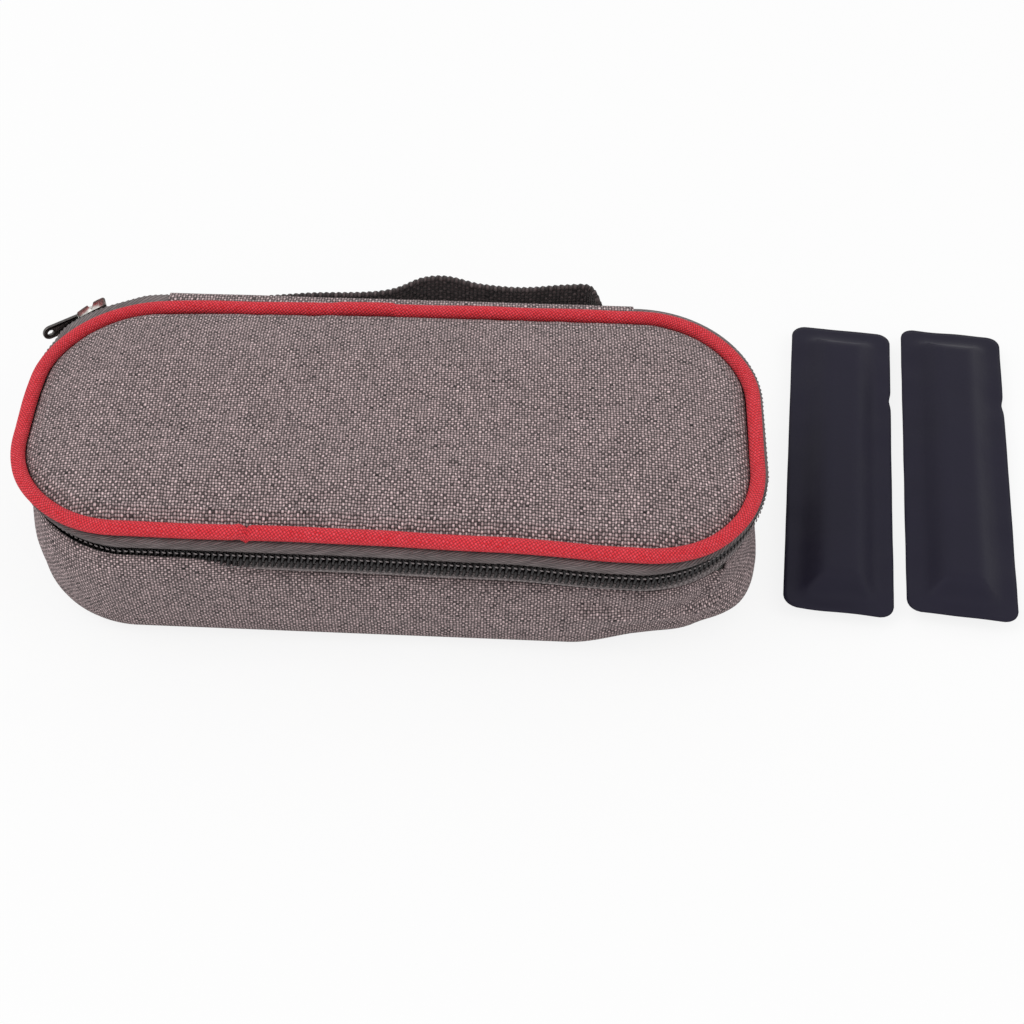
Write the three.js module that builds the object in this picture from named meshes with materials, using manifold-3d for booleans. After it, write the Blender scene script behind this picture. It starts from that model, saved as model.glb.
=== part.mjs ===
// Zipped cooling case for insulin: a soft box with rounded corners, a lid that folds back on a
// cloth hinge, a coil zipper round the other sides, a webbing handle on the back, a foil-lined
// foam wall, and two gel packs that lie on the ground at its right.
// Millimetres, +Z up, +X to the right, +Y to the back. The origin lies on the ground under the
// centre of the case.
import * as THREE from "three";
import { mergeVertices } from "three/addons/utils/BufferGeometryUtils.js";
import Module from "manifold-3d";

const wasm = await Module();
wasm.setup();

// The case as a whole
const caseLength = 203;
const caseDepth = 95;
const cornerRadius = 36;
const wallHeight = 29;
const footRadius = 9;
const wallInset = 4;
const wallBelly = 1;
const lidCrown = 4.5;
const lidSpread = 30.5;
const lidForward = 2;

// Sheet thicknesses, and the gap that neighbouring pieces keep
const fabric = 1.2;
const foam = 4;
const foil = 0.6;
const tape = 0.6;
const mesh = 0.5;
const seat = 0.3;
const cutOverrun = 0.4;

// The zipper: two coils, each on its own tape, whose teeth stand between each other
const toothPitch = 1.6;
const toothHeight = 1.6;
const toothClearance = 0.5;
const coilWidth = 2.1;
const coilThickness = 1.5;
const coilInset = 0.8;
const chainRise = 6.5;
const tapeParting = 1.6;
const lowerTapeWidth = 9;
const upperTapeWidth = 5.5;
const tapeTuck = 6;

// The slider, which stands in the back left corner with the chain open behind it
const sliderAngle = THREE.MathUtils.degToRad(36);
const sliderTravel = THREE.MathUtils.degToRad(42);
const sliderLength = 9;
const sliderMouthWidth = 6.6;
const sliderTailWidth = 5;
const wingThickness = 0.9;
const wingCorner = 0.8;
const wedgeThickness = 0.8;
const wedgeLength = 3;
const lidLiftRoom = 0.7;
const chainParting = 4;
const bridgeLength = 6.8;
const bridgeWidth = 2;
const bridgeThickness = 1;
const pullerThickness = 0.9;
const pullerLength = 15;
const pullerWidth = 4.4;
const pullerSlotWidth = 2.6;
const pullerRoom = 0.4;

// The piping, the hinge and the inside of the lid
const pipingRadius = 1.8;
const pipingInset = 4;
const hingeLength = 131;
const bindingThickness = 1.2;
const bindingHeight = 4;
const pocketMouthAngle = THREE.MathUtils.degToRad(48);
const hemWidth = 8;
const hemThickness = 1;

// The straps that hold pens on the floor of the case
const penStrapWidth = 20;
const penStrapLength = 54;
const penStrapThickness = 0.9;
const penStrapSpacing = 78;
const penArchHeight = 2.4;
const penCount = 3;

// The handle, a webbing folded back at both ends
const handleLength = 124;
const handleWidth = 20;
const handleThickness = 1.5;
const handleSewnLength = 12;
const handleReach = 16.5;
const handleTop = 27.5;
const handleLift = 9;
const handleFoldRadius = 1.4;
const handleRiseShare = 0.4;
const handleFirstReach = 10.2;
const handleSecondReach = 15.7;
const handleCurveSteps = 4;
const handleTension = 0.5;

// The gel packs
const packWidth = 29;
const packLength = 109;
const packThickness = 9;
const packCorner = 4;
const packRim = 3.4;
const packShoulder = 6;
const film = 0.4;
const packTurn = THREE.MathUtils.degToRad(-6);
const packWeldShare = 0.3;
const packSwellShare = 0.6;
const packRow = 24;
const packGap = 10;
const packSpacing = 32.5;

// Smooth curves are cut into this many steps.
const cornerSteps = 8;
const footSteps = 3;
const wallSteps = 3;
const crownSteps = 4;
const pipingSteps = 8;
const archSteps = 8;
const packCornerSteps = 3;

const cloth = (color) => new THREE.MeshStandardMaterial({ color, roughness: 0.95, metalness: 0 });
const greyCloth = cloth(0x7a6d6d);
const redCloth = cloth(0xd23240);
const tapeCloth = cloth(0x5c5151);
const blackWebbing = cloth(0x262223);
const blackNet = cloth(0x232123);
const whiteFoam = cloth(0xe8e8e4);
const coilNylon = new THREE.MeshStandardMaterial({ color: 0x2b2627, roughness: 0.45, metalness: 0 });
const silverFoil = new THREE.MeshStandardMaterial({ color: 0xc4c7ca, roughness: 0.35, metalness: 0.8 });
const nickel = new THREE.MeshStandardMaterial({ color: 0xc9c7c1, roughness: 0.25, metalness: 1 });
const navyFilm = new THREE.MeshStandardMaterial({ color: 0x24222f, roughness: 0.4, metalness: 0 });
const blueGel = new THREE.MeshStandardMaterial({ color: 0x9cc4dd, roughness: 0.3, metalness: 0 });

const coolingCase = new THREE.Group();

function add(name, geometry, material, parent = coolingCase) {
  const piece = new THREE.Mesh(geometry, material);
  piece.name = name;
  parent.add(piece);
  return piece;
}

// The plan outline is a rounded rectangle. A place on it is found by its distance from the
// middle of the back, going round by the left.
const halfLength = caseLength / 2;
const halfDepth = caseDepth / 2;
const longStraight = halfLength - cornerRadius;
const shortStraight = halfDepth - cornerRadius;
const quarterTurn = Math.PI / 2;
const cornerRun = cornerRadius * quarterTurn;
const perimeter = 4 * (longStraight + shortStraight + cornerRun);
const leftCornerStart = longStraight;
const corners = [
  { x: -longStraight, y: shortStraight, start: leftCornerStart },
  { x: -longStraight, y: -shortStraight, start: leftCornerStart + cornerRun + 2 * shortStraight },
  { x: longStraight, y: -shortStraight, start: 3 * longStraight + 2 * (cornerRun + shortStraight) },
  { x: longStraight, y: shortStraight, start: 3 * (longStraight + cornerRun) + 4 * shortStraight },
];

// The outline's point at a distance, with the direction that points out of the case there.
function onOutline(distance) {
  if (distance < leftCornerStart) return { x: -distance, y: halfDepth, outX: 0, outY: 1 };
  const corner = [...corners].reverse().find(({ start }) => distance >= start);
  const turned = Math.min(distance - corner.start, cornerRun);
  const beyond = distance - corner.start - turned;
  const angle = quarterTurn * (corners.indexOf(corner) + 1) + turned / cornerRadius;
  const outX = Math.cos(angle);
  const outY = Math.sin(angle);
  return {
    x: corner.x + cornerRadius * outX - outY * beyond,
    y: corner.y + cornerRadius * outY + outX * beyond,
    outX,
    outY,
  };
}

// The distances at which a band is cut: the steps of the four corners.
const cornerCuts = corners.flatMap(({ start }) =>
  Array.from({ length: cornerSteps + 1 }, (_, step) => start + (cornerRun * step) / cornerSteps),
);
const wholeLoop = cornerCuts.map(onOutline);

function partLoop(from, to) {
  const between = cornerCuts.filter((distance) => distance > from + seat && distance < to - seat);
  return [from, ...between, to].map(onOutline);
}

// A closed solid from its corners and triangles, with its faces turned out.
function solid(points, triangles) {
  let volume = 0;
  for (const [i, j, k] of triangles) {
    const [a, b, c] = [points[i], points[j], points[k]].map((point) => new THREE.Vector3(...point));
    volume += a.dot(b.cross(c));
  }
  const faces = volume < 0 ? triangles.map(([i, j, k]) => [i, k, j]) : triangles;
  const geometry = new THREE.BufferGeometry();
  geometry.setAttribute("position", new THREE.Float32BufferAttribute(points.flat(), 3));
  geometry.setIndex(faces.flat());
  geometry.computeVertexNormals();
  return geometry;
}

// A point of a section, stood at a place of the outline. A third number moves it forward.
const placed = (station, [inset, z, forward = 0]) => [
  station.x - station.outX * inset,
  station.y - station.outY * inset - forward,
  z,
];

// The two triangles of each four-sided face between two rings of points
function ringFaces(here, next, size) {
  const triangles = [];
  for (let j = 0; j < size; j += 1) {
    const k = (j + 1) % size;
    triangles.push([here + j, here + k, next + k], [here + j, next + k, next + j]);
  }
  return triangles;
}

// A closed loop with a section of [inset, height] points, swept round the whole outline
function hoop(section) {
  const size = section.length;
  const points = wholeLoop.flatMap((station) => section.map((point) => placed(station, point)));
  const triangles = wholeLoop.flatMap((_, i) =>
    ringFaces(i * size, ((i + 1) % wholeLoop.length) * size, size),
  );
  return solid(points, triangles);
}

// The same along a part of the outline, closed flat at both ends
function strip(stations, section) {
  const size = section.length;
  const points = stations.flatMap((station) => section.map((point) => placed(station, point)));
  const last = (stations.length - 1) * size;
  const triangles = stations.slice(1).flatMap((_, i) => ringFaces(i * size, (i + 1) * size, size));
  const flat = section.map(([inset, z]) => new THREE.Vector2(inset, z));
  const anticlockwise = !THREE.ShapeUtils.isClockWise(flat);
  for (const [i, j, k] of THREE.ShapeUtils.triangulateShape(flat, [])) {
    const turned = new THREE.Vector2().subVectors(flat[j], flat[i]).cross(
      new THREE.Vector2().subVectors(flat[k], flat[i]),
    );
    const [p, q, r] = turned > 0 === anticlockwise ? [i, j, k] : [i, k, j];
    triangles.push([r, q, p], [last + p, last + q, last + r]);
  }
  return solid(points, triangles);
}

// A tray or slab: rings of [inset, height] joined in turn, with the first and the last closed
function loft(rings, stations = wholeLoop, centre = [0, 0]) {
  const size = stations.length;
  const points = rings.flatMap((ring) => stations.map((station) => placed(station, ring)));
  const triangles = rings.slice(1).flatMap((_, i) => ringFaces(i * size, (i + 1) * size, size));
  const last = (rings.length - 1) * size;
  const middle = points.length;
  points.push([...centre, rings[0][1]], [...centre, rings[rings.length - 1][1]]);
  for (let j = 0; j < size; j += 1) {
    const k = (j + 1) % size;
    triangles.push([middle, k, j], [middle + 1, last + j, last + k]);
  }
  return solid(points, triangles);
}

// A flat shape drawn in X and Z, given thickness along Y between two places.
function plate(shape, fromY, toY) {
  const options = { depth: toY - fromY, bevelEnabled: false, curveSegments: archSteps };
  return new THREE.ExtrudeGeometry(shape, options).rotateX(quarterTurn).translate(0, toY, 0);
}

// Joins closed geometries into one.
function joined(...geometries) {
  const solids = geometries.map((geometry) => {
    const bare = geometry.clone();
    bare.deleteAttribute("normal");
    bare.deleteAttribute("uv");
    const merged = mergeVertices(bare);
    const vertProperties = new Float32Array(merged.attributes.position.array);
    const triVerts = new Uint32Array(merged.index.array);
    return new wasm.Manifold(new wasm.Mesh({ numProp: 3, vertProperties, triVerts }));
  });
  const { vertProperties, triVerts } = solids.reduce((whole, next) => whole.add(next)).getMesh();
  const geometry = new THREE.BufferGeometry();
  geometry.setAttribute("position", new THREE.BufferAttribute(vertProperties, 3));
  geometry.setIndex(new THREE.BufferAttribute(triVerts, 1));
  geometry.computeVertexNormals();
  return geometry;
}

// The wall's section at a depth below the outer cloth. It stands in from the full outline, which
// is that of the zipper. The foot is a quarter round, and the side above it swells a little.
function footPoint(angle, depth) {
  const bend = footRadius - depth;
  return [wallInset + footRadius - bend * Math.sin(angle), footRadius - bend * Math.cos(angle)];
}
function wallPoint(z, depth) {
  const rise = (z - footRadius) / (wallHeight - footRadius);
  return [wallInset - 4 * wallBelly * rise * (1 - rise) + depth, z];
}
function wallSection(depth, fromAngle, top) {
  const foot = Array.from({ length: footSteps + 1 }, (_, step) =>
    footPoint(fromAngle + ((quarterTurn - fromAngle) * step) / footSteps, depth),
  );
  const side = Array.from({ length: wallSteps }, (_, step) =>
    wallPoint(footRadius + ((top - footRadius) * (step + 1)) / wallSteps, depth),
  );
  return [...foot, ...side];
}
const reversed = (points) => [...points].reverse();

// Heights and insets that the layers share
const chainHeight = wallHeight + chainRise;
const foamDepth = fabric + seat;
const foilDepth = foamDepth + foam + seat;
const liningDepth = foilDepth + foil;
const coilInside = coilInset + coilThickness;
const tapeInset = coilInside + seat;
const tapeBack = tapeInset + tape;
const sewnTape = wallInset + foamDepth;
const rimInset = sewnTape + tape + seat;
const lowerTapeFoot = chainHeight - lowerTapeWidth;
const lowerTapeEdge = chainHeight - tapeParting / 2;
const upperTapeEdge = chainHeight + tapeParting / 2;
const upperTapeTop = chainHeight + upperTapeWidth;
const pipingHeight = upperTapeTop + seat + pipingRadius;
const pipingMiddle = pipingInset + pipingRadius;
const upperBend = upperTapeEdge + coilWidth + 3 * seat;
const foamTop = wallHeight - fabric + seat;

// Outer cloth of the base: the bottom panel and the side wall meet in a seam on the foot.
function addBaseCloth() {
  const seamAngle = quarterTurn / 2;
  const footArc = (depth) =>
    Array.from({ length: footSteps + 1 }, (_, step) => footPoint((seamAngle * step) / footSteps, depth));
  add("bottom_panel", loft([...footArc(0), ...reversed(footArc(fabric))]), greyCloth);
  const wallFoot = seamAngle + seat / (footRadius - fabric);
  const outside = wallSection(0, wallFoot, wallHeight);
  const inside = wallSection(fabric, wallFoot, wallHeight);
  add("side_wall", hoop([...outside, ...reversed(inside)]), greyCloth);
}

// Foam tray, its foil lining with a rim turned out over the foam, and the binding inside the
// rim. The foam steps in where the lower tape is sewn behind the wall.
function addBaseInside() {
  const foamOutside = [
    ...wallSection(foamDepth, 0, lowerTapeFoot - seat),
    [rimInset, lowerTapeFoot - seat],
    [rimInset, foamTop],
  ];
  const foamInside = wallSection(foamDepth + foam, 0, foamTop);
  add("base_foam", loft([...foamOutside, ...reversed(foamInside)]), whiteFoam);
  const rimUnder = foamTop + seat;
  const rimTop = rimUnder + foil;
  const liningOutside = [...wallSection(foilDepth, 0, rimUnder), [rimInset, rimUnder], [rimInset, rimTop]];
  const liningInside = wallSection(liningDepth, 0, rimTop);
  add("base_lining", loft([...liningOutside, ...reversed(liningInside)]), silverFoil);
  const bindingOut = wallInset + liningDepth + seat;
  const bindingIn = bindingOut + bindingThickness;
  const bindingFoot = rimTop - bindingHeight;
  add(
    "base_binding",
    hoop([
      [bindingOut, bindingFoot],
      [bindingOut, rimTop],
      [bindingIn, rimTop],
      [bindingIn, bindingFoot],
    ]),
    blackWebbing,
  );
}

// Elastic straps across the floor, sewn down between the pens and slack over each of them
function addPenStraps() {
  const floor = liningDepth + seat;
  const steps = penCount * archSteps;
  const waveAt = (step) => penArchHeight * Math.abs(Math.sin((step * Math.PI) / archSteps));
  const places = Array.from({ length: steps + 1 }, (_, step) => [
    penStrapLength * (step / steps) - penStrapLength / 2,
    floor + waveAt(step),
  ]);
  const under = places.map(([y, z]) => new THREE.Vector2(y, z));
  const over = places.map(([y, z]) => new THREE.Vector2(y, z + penStrapThickness));
  const shape = new THREE.Shape([...under, ...over.reverse()]);
  for (const [side, middle] of [["left", -penStrapSpacing / 2], ["right", penStrapSpacing / 2]]) {
    const strap = new THREE.ExtrudeGeometry(shape, { depth: penStrapWidth, bevelEnabled: false });
    strap.rotateX(quarterTurn).rotateZ(quarterTurn).translate(middle - penStrapWidth / 2, 0, 0);
    add(`pen_strap_${side}`, strap, blackWebbing);
  }
}

// Zipper tapes. Each runs on behind the ends of the hinge panel, where it is sewn in. The upper
// one leans in over the coil, to the seam under the piping, which sits a little to the front.
const hingeHalf = hingeLength / 2;
function addTapes() {
  const run = partLoop(hingeHalf - tapeTuck, perimeter - hingeHalf + tapeTuck);
  const bendFoot = wallHeight + seat;
  const bendTop = wallHeight + coilWidth - seat;
  const lower = [
    [sewnTape, lowerTapeFoot],
    [sewnTape, bendFoot],
    [tapeInset, bendTop],
    [tapeInset, lowerTapeEdge],
    [tapeBack, lowerTapeEdge],
    [tapeBack, bendTop],
    [sewnTape + tape, bendFoot],
    [sewnTape + tape, lowerTapeFoot],
  ];
  add("lower_zipper_tape", strip(run, lower), tapeCloth);
  const topOut = pipingMiddle + seat;
  const upper = [
    [tapeInset, upperTapeEdge],
    [tapeInset, upperBend],
    [topOut, upperTapeTop, lidForward],
    [topOut + tape, upperTapeTop - tape, lidForward],
    [tapeBack, upperBend - tape],
    [tapeBack, upperTapeEdge],
  ];
  add("upper_zipper_tape", strip(run, upper), tapeCloth);
}

// The coils. Both are racks of pointed teeth that share their places: the lower one has a
// tooth in the middle of each pitch, and the upper one at the ends. In the slider's corner the
// chain is open, and each coil stands back to leave room for the slider's wedge.
const chainStart = hingeHalf + seat;
const chainRun = perimeter - 2 * chainStart;
const toothCount = Math.round(chainRun / toothPitch);
const openEnd = leftCornerStart + cornerRadius * (sliderAngle + sliderTravel);
const openShift = (toothHeight - toothClearance + wedgeThickness) / 2 + seat;
function addCoil(name, direction) {
  const valley = -(toothHeight + toothClearance) / 2;
  const peak = valley + toothHeight;
  const back = valley - coilWidth;
  const ends = direction > 0 ? valley : peak;
  const middles = direction > 0 ? peak : valley;
  const pair = (pitches, level) => {
    const distance = chainStart + (chainRun * pitches) / toothCount;
    const open = 1 - THREE.MathUtils.smoothstep(distance, openEnd, openEnd + chainParting);
    const z = chainHeight + direction * (level - openShift * open);
    return [coilInset, coilInside].map((inset) => placed(onOutline(distance), [inset, z]));
  };
  const levels = [
    { pitch: 0, level: back },
    { pitch: 0, level: ends },
    { pitch: 0.5, level: middles },
  ];
  const points = [];
  for (let tooth = 0; tooth <= toothCount; tooth += 1) {
    for (const { pitch, level } of levels) points.push(...pair(tooth + pitch, level));
  }
  const perTooth = 2 * levels.length;
  points.length -= 2;
  const triangles = [];
  for (let tooth = 0; tooth < toothCount; tooth += 1) {
    const here = tooth * perTooth;
    const next = here + perTooth;
    const [back0, back1, end0, end1, middle0, middle1] = [0, 1, 2, 3, 4, 5].map((i) => here + i);
    const [back2, back3, end2, end3] = [0, 1, 2, 3].map((i) => next + i);
    triangles.push([back0, back2, middle0], [back0, middle0, end0], [back2, end2, middle0]);
    triangles.push([back1, middle1, back3], [back1, end1, middle1], [back3, middle1, end3]);
    triangles.push([back0, back1, back2], [back2, back1, back3]);
    triangles.push([end0, middle0, end1], [end1, middle0, middle1]);
    triangles.push([middle0, end2, middle1], [middle1, end2, end3]);
  }
  const last = toothCount * perTooth;
  triangles.push([0, 2, 1], [1, 2, 3], [last, last + 1, last + 2], [last + 1, last + 3, last + 2]);
  add(name, solid(points, triangles), coilNylon);
}

// The hinge is one strip of cloth in the back. Its two halves meet on the hinge axis.
function addHinge() {
  const run = [-hingeHalf, hingeHalf].map((x) => ({ x, y: halfDepth, outX: 0, outY: 1 }));
  const foot = wallInset - fabric - seat;
  const bend = wallHeight + coilWidth - seat;
  const lower = [
    [foot, wallHeight + seat],
    [0, bend],
    [0, chainHeight - seat / 2],
    [fabric, chainHeight - seat / 2],
    [fabric, bend],
    [foot + fabric, wallHeight + seat],
  ];
  const upper = [
    [0, chainHeight + seat / 2],
    [0, upperBend],
    [pipingInset, upperTapeTop, lidForward],
    [pipingInset + fabric, upperTapeTop, lidForward],
    [fabric, upperBend],
    [fabric, chainHeight + seat / 2],
  ];
  add("hinge_cloth_lower", strip(run, lower), greyCloth);
  add("hinge_cloth_upper", strip(run, upper), greyCloth);
}

// Lid: piping, crowned top panel, foam, lining, binding, and a mesh pocket with a hem.
function addLid() {
  const pipingSection = Array.from({ length: pipingSteps }, (_, step) => {
    const angle = (2 * Math.PI * step) / pipingSteps;
    const inset = pipingMiddle + pipingRadius * Math.cos(angle);
    return [inset, pipingHeight + pipingRadius * Math.sin(angle), lidForward];
  });
  add("lid_piping", hoop(pipingSection), redCloth);
  const panelInset = pipingMiddle + pipingRadius + seat;
  const crownRing = (step, z) => {
    const share = step / crownSteps;
    const inset = panelInset + (lidSpread - panelInset) * share;
    return [inset, z + lidCrown * share * (2 - share), lidForward];
  };
  const crown = (z) => Array.from({ length: crownSteps + 1 }, (_, step) => crownRing(step, z));
  const panelUnder = pipingHeight - fabric / 2;
  add("lid_panel", loft([...reversed(crown(panelUnder)), ...crown(panelUnder + fabric)]), greyCloth);
  const lidFoamTop = panelUnder - seat;
  const lidFoamUnder = lidFoamTop - foam;
  const edge = (z) => [panelInset, z, lidForward];
  add("lid_foam", loft([edge(lidFoamUnder), ...crown(lidFoamTop)]), whiteFoam);
  const liningTop = lidFoamUnder - seat;
  const liningUnder = liningTop - foil;
  add("lid_lining", loft([edge(liningUnder), edge(liningTop)]), silverFoil);
  const bindingTop = liningUnder - seat;
  const bindingOut = tapeBack + wingThickness + 2 * seat + lidLiftRoom;
  const bindingIn = bindingOut + bindingHeight;
  add(
    "lid_binding",
    hoop([
      [bindingOut, bindingTop - bindingThickness],
      [bindingOut, bindingTop],
      [bindingIn, bindingTop],
      [bindingIn, bindingTop - bindingThickness],
    ]),
    blackWebbing,
  );
  const mouth = leftCornerStart + cornerRadius * pocketMouthAngle;
  const pocketEdge = partLoop(mouth, perimeter - mouth).map((station) => {
    const [x, y] = placed(station, [bindingIn + seat, bindingTop]);
    return new THREE.Vector2(x, y);
  });
  const net = new THREE.ExtrudeGeometry(new THREE.Shape(pocketEdge), { depth: mesh, bevelEnabled: false });
  add("mesh_pocket", net.translate(0, 0, bindingTop - mesh), blackNet);
  const hemLength = 2 * pocketEdge[pocketEdge.length - 1].x;
  const hemMiddle = pocketEdge[0].y - hemWidth / 2;
  const hem = new THREE.BoxGeometry(hemLength - hemWidth, hemWidth, hemThickness);
  hem.translate(0, hemMiddle, bindingTop - mesh - seat - hemThickness / 2);
  add("pocket_hem", hem, blackWebbing);
}

// The slider's own axes: X along the chain towards the hinge, Y out of the case, Z up.
const sliderGroup = new THREE.Group();
sliderGroup.position.set(corners[0].x, corners[0].y, chainHeight);
sliderGroup.rotation.z = sliderAngle;
coolingCase.add(sliderGroup);
const sagitta = sliderLength ** 2 / (8 * cornerRadius);
const innerWingFace = cornerRadius - tapeBack - seat - sagitta;
const outerWingFace = cornerRadius - coilInset + seat + lidLiftRoom;
const bridgeFoot = outerWingFace + wingThickness;
const pullerPivot = bridgeFoot + pullerRoom + pullerThickness / 2;
const bridgeRoom = pullerThickness + 2 * pullerRoom;
function addSlider() {
  const [front, mouth, tail] = [sliderLength / 2, sliderMouthWidth / 2, sliderTailWidth / 2];
  const wing = new THREE.Shape();
  wing.moveTo(front - wingCorner, -mouth);
  wing.quadraticCurveTo(front, -mouth, front, -mouth + wingCorner);
  wing.lineTo(front, mouth - wingCorner);
  wing.quadraticCurveTo(front, mouth, front - wingCorner, mouth);
  wing.quadraticCurveTo(0, mouth, -front + wingCorner, tail);
  wing.quadraticCurveTo(-front, tail, -front, tail - wingCorner);
  wing.lineTo(-front, -tail + wingCorner);
  wing.quadraticCurveTo(-front, -tail, -front + wingCorner, -tail);
  wing.quadraticCurveTo(0, -mouth, front - wingCorner, -mouth);
  const inner = plate(wing, innerWingFace - wingThickness, innerWingFace);
  const outer = plate(wing, outerWingFace, bridgeFoot);
  const wedgeShape = new THREE.Shape();
  wedgeShape.moveTo(front - wedgeThickness, -wedgeThickness / 2);
  wedgeShape.lineTo(front - wedgeThickness, wedgeThickness / 2);
  wedgeShape.lineTo(front - wedgeLength, 0);
  const wedge = plate(wedgeShape, innerWingFace - cutOverrun, outerWingFace + cutOverrun);
  const bridgeShape = new THREE.Shape();
  const reach = bridgeLength / 2;
  const top = bridgeRoom + bridgeThickness;
  const legs = bridgeFoot - cutOverrun;
  bridgeShape.moveTo(reach, legs);
  bridgeShape.lineTo(reach, bridgeFoot);
  bridgeShape.absellipse(0, bridgeFoot, reach, top, 0, Math.PI, false);
  bridgeShape.lineTo(-reach, legs);
  bridgeShape.lineTo(-reach + bridgeThickness, legs);
  bridgeShape.lineTo(-reach + bridgeThickness, bridgeFoot);
  bridgeShape.absellipse(0, bridgeFoot, reach - bridgeThickness, bridgeRoom, Math.PI, 0, true);
  bridgeShape.lineTo(reach - bridgeThickness, legs);
  const bridge = new THREE.ExtrudeGeometry(bridgeShape, {
    depth: bridgeWidth,
    bevelEnabled: false,
    curveSegments: archSteps,
  });
  bridge.translate(0, 0, -bridgeWidth / 2);
  add("slider_body", joined(inner, outer, wedge, bridge), nickel, sliderGroup);
}

// The puller is a stamped tab. The slot near its end goes over the bridge, and a hole near its
// free end takes a cord.
function addPuller() {
  const half = pullerWidth / 2;
  const eye = pullerThickness / 2;
  const tab = new THREE.Shape();
  tab.moveTo(eye, -half + eye);
  tab.lineTo(eye, half - eye);
  tab.quadraticCurveTo(eye, half, 0, half);
  tab.lineTo(-pullerLength + half, half);
  tab.absarc(-pullerLength + half, 0, half, quarterTurn, 3 * quarterTurn, false);
  tab.lineTo(0, -half);
  tab.quadraticCurveTo(eye, -half, eye, -half + eye);
  const slotEnd = Math.hypot(bridgeLength / 2, bridgeRoom / 2) + seat;
  const slot = new THREE.Path();
  slot.moveTo(-eye, -pullerSlotWidth / 2);
  slot.lineTo(-eye, pullerSlotWidth / 2);
  slot.lineTo(-slotEnd, pullerSlotWidth / 2);
  slot.lineTo(-slotEnd, -pullerSlotWidth / 2);
  const cordHole = new THREE.Path();
  cordHole.absarc(-pullerLength + half, 0, pullerThickness, 0, 4 * quarterTurn, false);
  tab.holes.push(slot, cordHole);
  add("slider_puller", plate(tab, pullerPivot - eye, pullerPivot + eye), nickel, sliderGroup);
}

// Handle: the webbing is sewn flat on the back, folds over at its ends and runs across as a
// loop that stands out and up, so that the lid can fold back inside it.
function addHandle() {
  const end = handleLength / 2;
  const skin = halfDepth - wallInset + wallBelly + 2 * seat + handleThickness / 2;
  const spread = 2 * handleFoldRadius;
  const sewn = end - handleSewnLength;
  const low = handleTop - handleWidth;
  const half = [
    [sewn, skin, low],
    [end - handleFoldRadius, skin, low],
    [end, skin + spread / 2, low],
    [end - handleFoldRadius, skin + spread, low],
    [end - handleSewnLength / 2, skin + handleFirstReach, low],
    [end - handleSewnLength, skin + handleSecondReach, low + handleLift * handleRiseShare],
    [end / 2, skin + handleReach, low + handleLift],
  ];
  const other = half.map(([x, y, z]) => [-x, y, z]).reverse();
  const line = [...half, [0, skin + handleReach, low + handleLift], ...other];
  const knots = line.map((point) => new THREE.Vector3(...point));
  const curve = new THREE.CatmullRomCurve3(knots, false, "catmullrom", handleTension);
  const count = line.length * handleCurveSteps;
  const points = [];
  for (let step = 0; step <= count; step += 1) {
    const place = curve.getPoint(step / count);
    const along = curve.getTangent(step / count);
    const across = new THREE.Vector2(along.y, -along.x).normalize().multiplyScalar(handleThickness / 2);
    points.push([place.x + across.x, place.y + across.y, place.z]);
    points.push([place.x + across.x, place.y + across.y, place.z + handleWidth]);
    points.push([place.x - across.x, place.y - across.y, place.z + handleWidth]);
    points.push([place.x - across.x, place.y - across.y, place.z]);
  }
  const size = points.length / (count + 1);
  const triangles = [];
  for (let step = 0; step < count; step += 1) {
    triangles.push(...ringFaces(step * size, (step + 1) * size, size));
  }
  const last = count * size;
  triangles.push([2, 1, 0], [3, 2, 0], [last, last + 1, last + 2], [last, last + 2, last + 3]);
  add("handle_webbing", solid(points, triangles), blackWebbing);
}

// A gel pack: two films welded flat at the rim, and the gel that swells them in the middle
function packLoop() {
  const [halfWidth, halfRun] = [packWidth / 2 - packCorner, packLength / 2 - packCorner];
  const sides = [
    { outX: 1, outY: 1 },
    { outX: -1, outY: 1 },
    { outX: -1, outY: -1 },
    { outX: 1, outY: -1 },
  ];
  return sides.flatMap(({ outX, outY }, corner) =>
    Array.from({ length: packCornerSteps + 1 }, (_, step) => {
      const angle = quarterTurn * (corner + step / packCornerSteps);
      const x = halfWidth * outX + packCorner * Math.cos(angle);
      const y = halfRun * outY + packCorner * Math.sin(angle);
      return { x, y, outX, outY };
    }),
  );
}
function addPack(side, x) {
  const loop = packLoop();
  const pack = new THREE.Group();
  pack.position.set(x, packRow, 0);
  pack.rotation.z = packTurn;
  coolingCase.add(pack);
  const swell = (low, high) => [
    [0, low],
    [packRim, low],
    [packRim + packShoulder * packWeldShare, low + (high - low) * packSwellShare],
    [packRim + packShoulder, high],
  ];
  const rim = packThickness / 2 - film - seat / 2;
  const backUnder = reversed(swell(rim, 0));
  const backOver = swell(rim + film, film);
  add(`pack_${side}_back_film`, loft([...backUnder, ...backOver], loop), navyFilm, pack);
  const weld = rim + film + seat;
  const frontUnder = reversed(swell(weld, packThickness - film));
  const frontOver = swell(weld + film, packThickness);
  add(`pack_${side}_front_film`, loft([...frontUnder, ...frontOver], loop), navyFilm, pack);
  const gelUnder = reversed(swell(weld, film + seat)).slice(0, -1);
  const gelOver = swell(weld, packThickness - film - seat).slice(2);
  const gelRing = gelUnder.map(([inset, z]) => [inset + 2 * seat, z]);
  const gelCap = gelOver.map(([inset, z]) => [inset + 2 * seat, z]);
  add(`pack_${side}_gel`, loft([...gelRing, ...gelCap], loop), blueGel, pack);
}

addBaseCloth();
addBaseInside();
addPenStraps();
addTapes();
addCoil("lower_coil", 1);
addCoil("upper_coil", -1);
addHinge();
addLid();
addSlider();
addPuller();
addHandle();
const firstPack = halfLength + packGap + packWidth / 2;
addPack("left", firstPack);
addPack("right", firstPack + packSpacing);

export default coolingCase;
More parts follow.
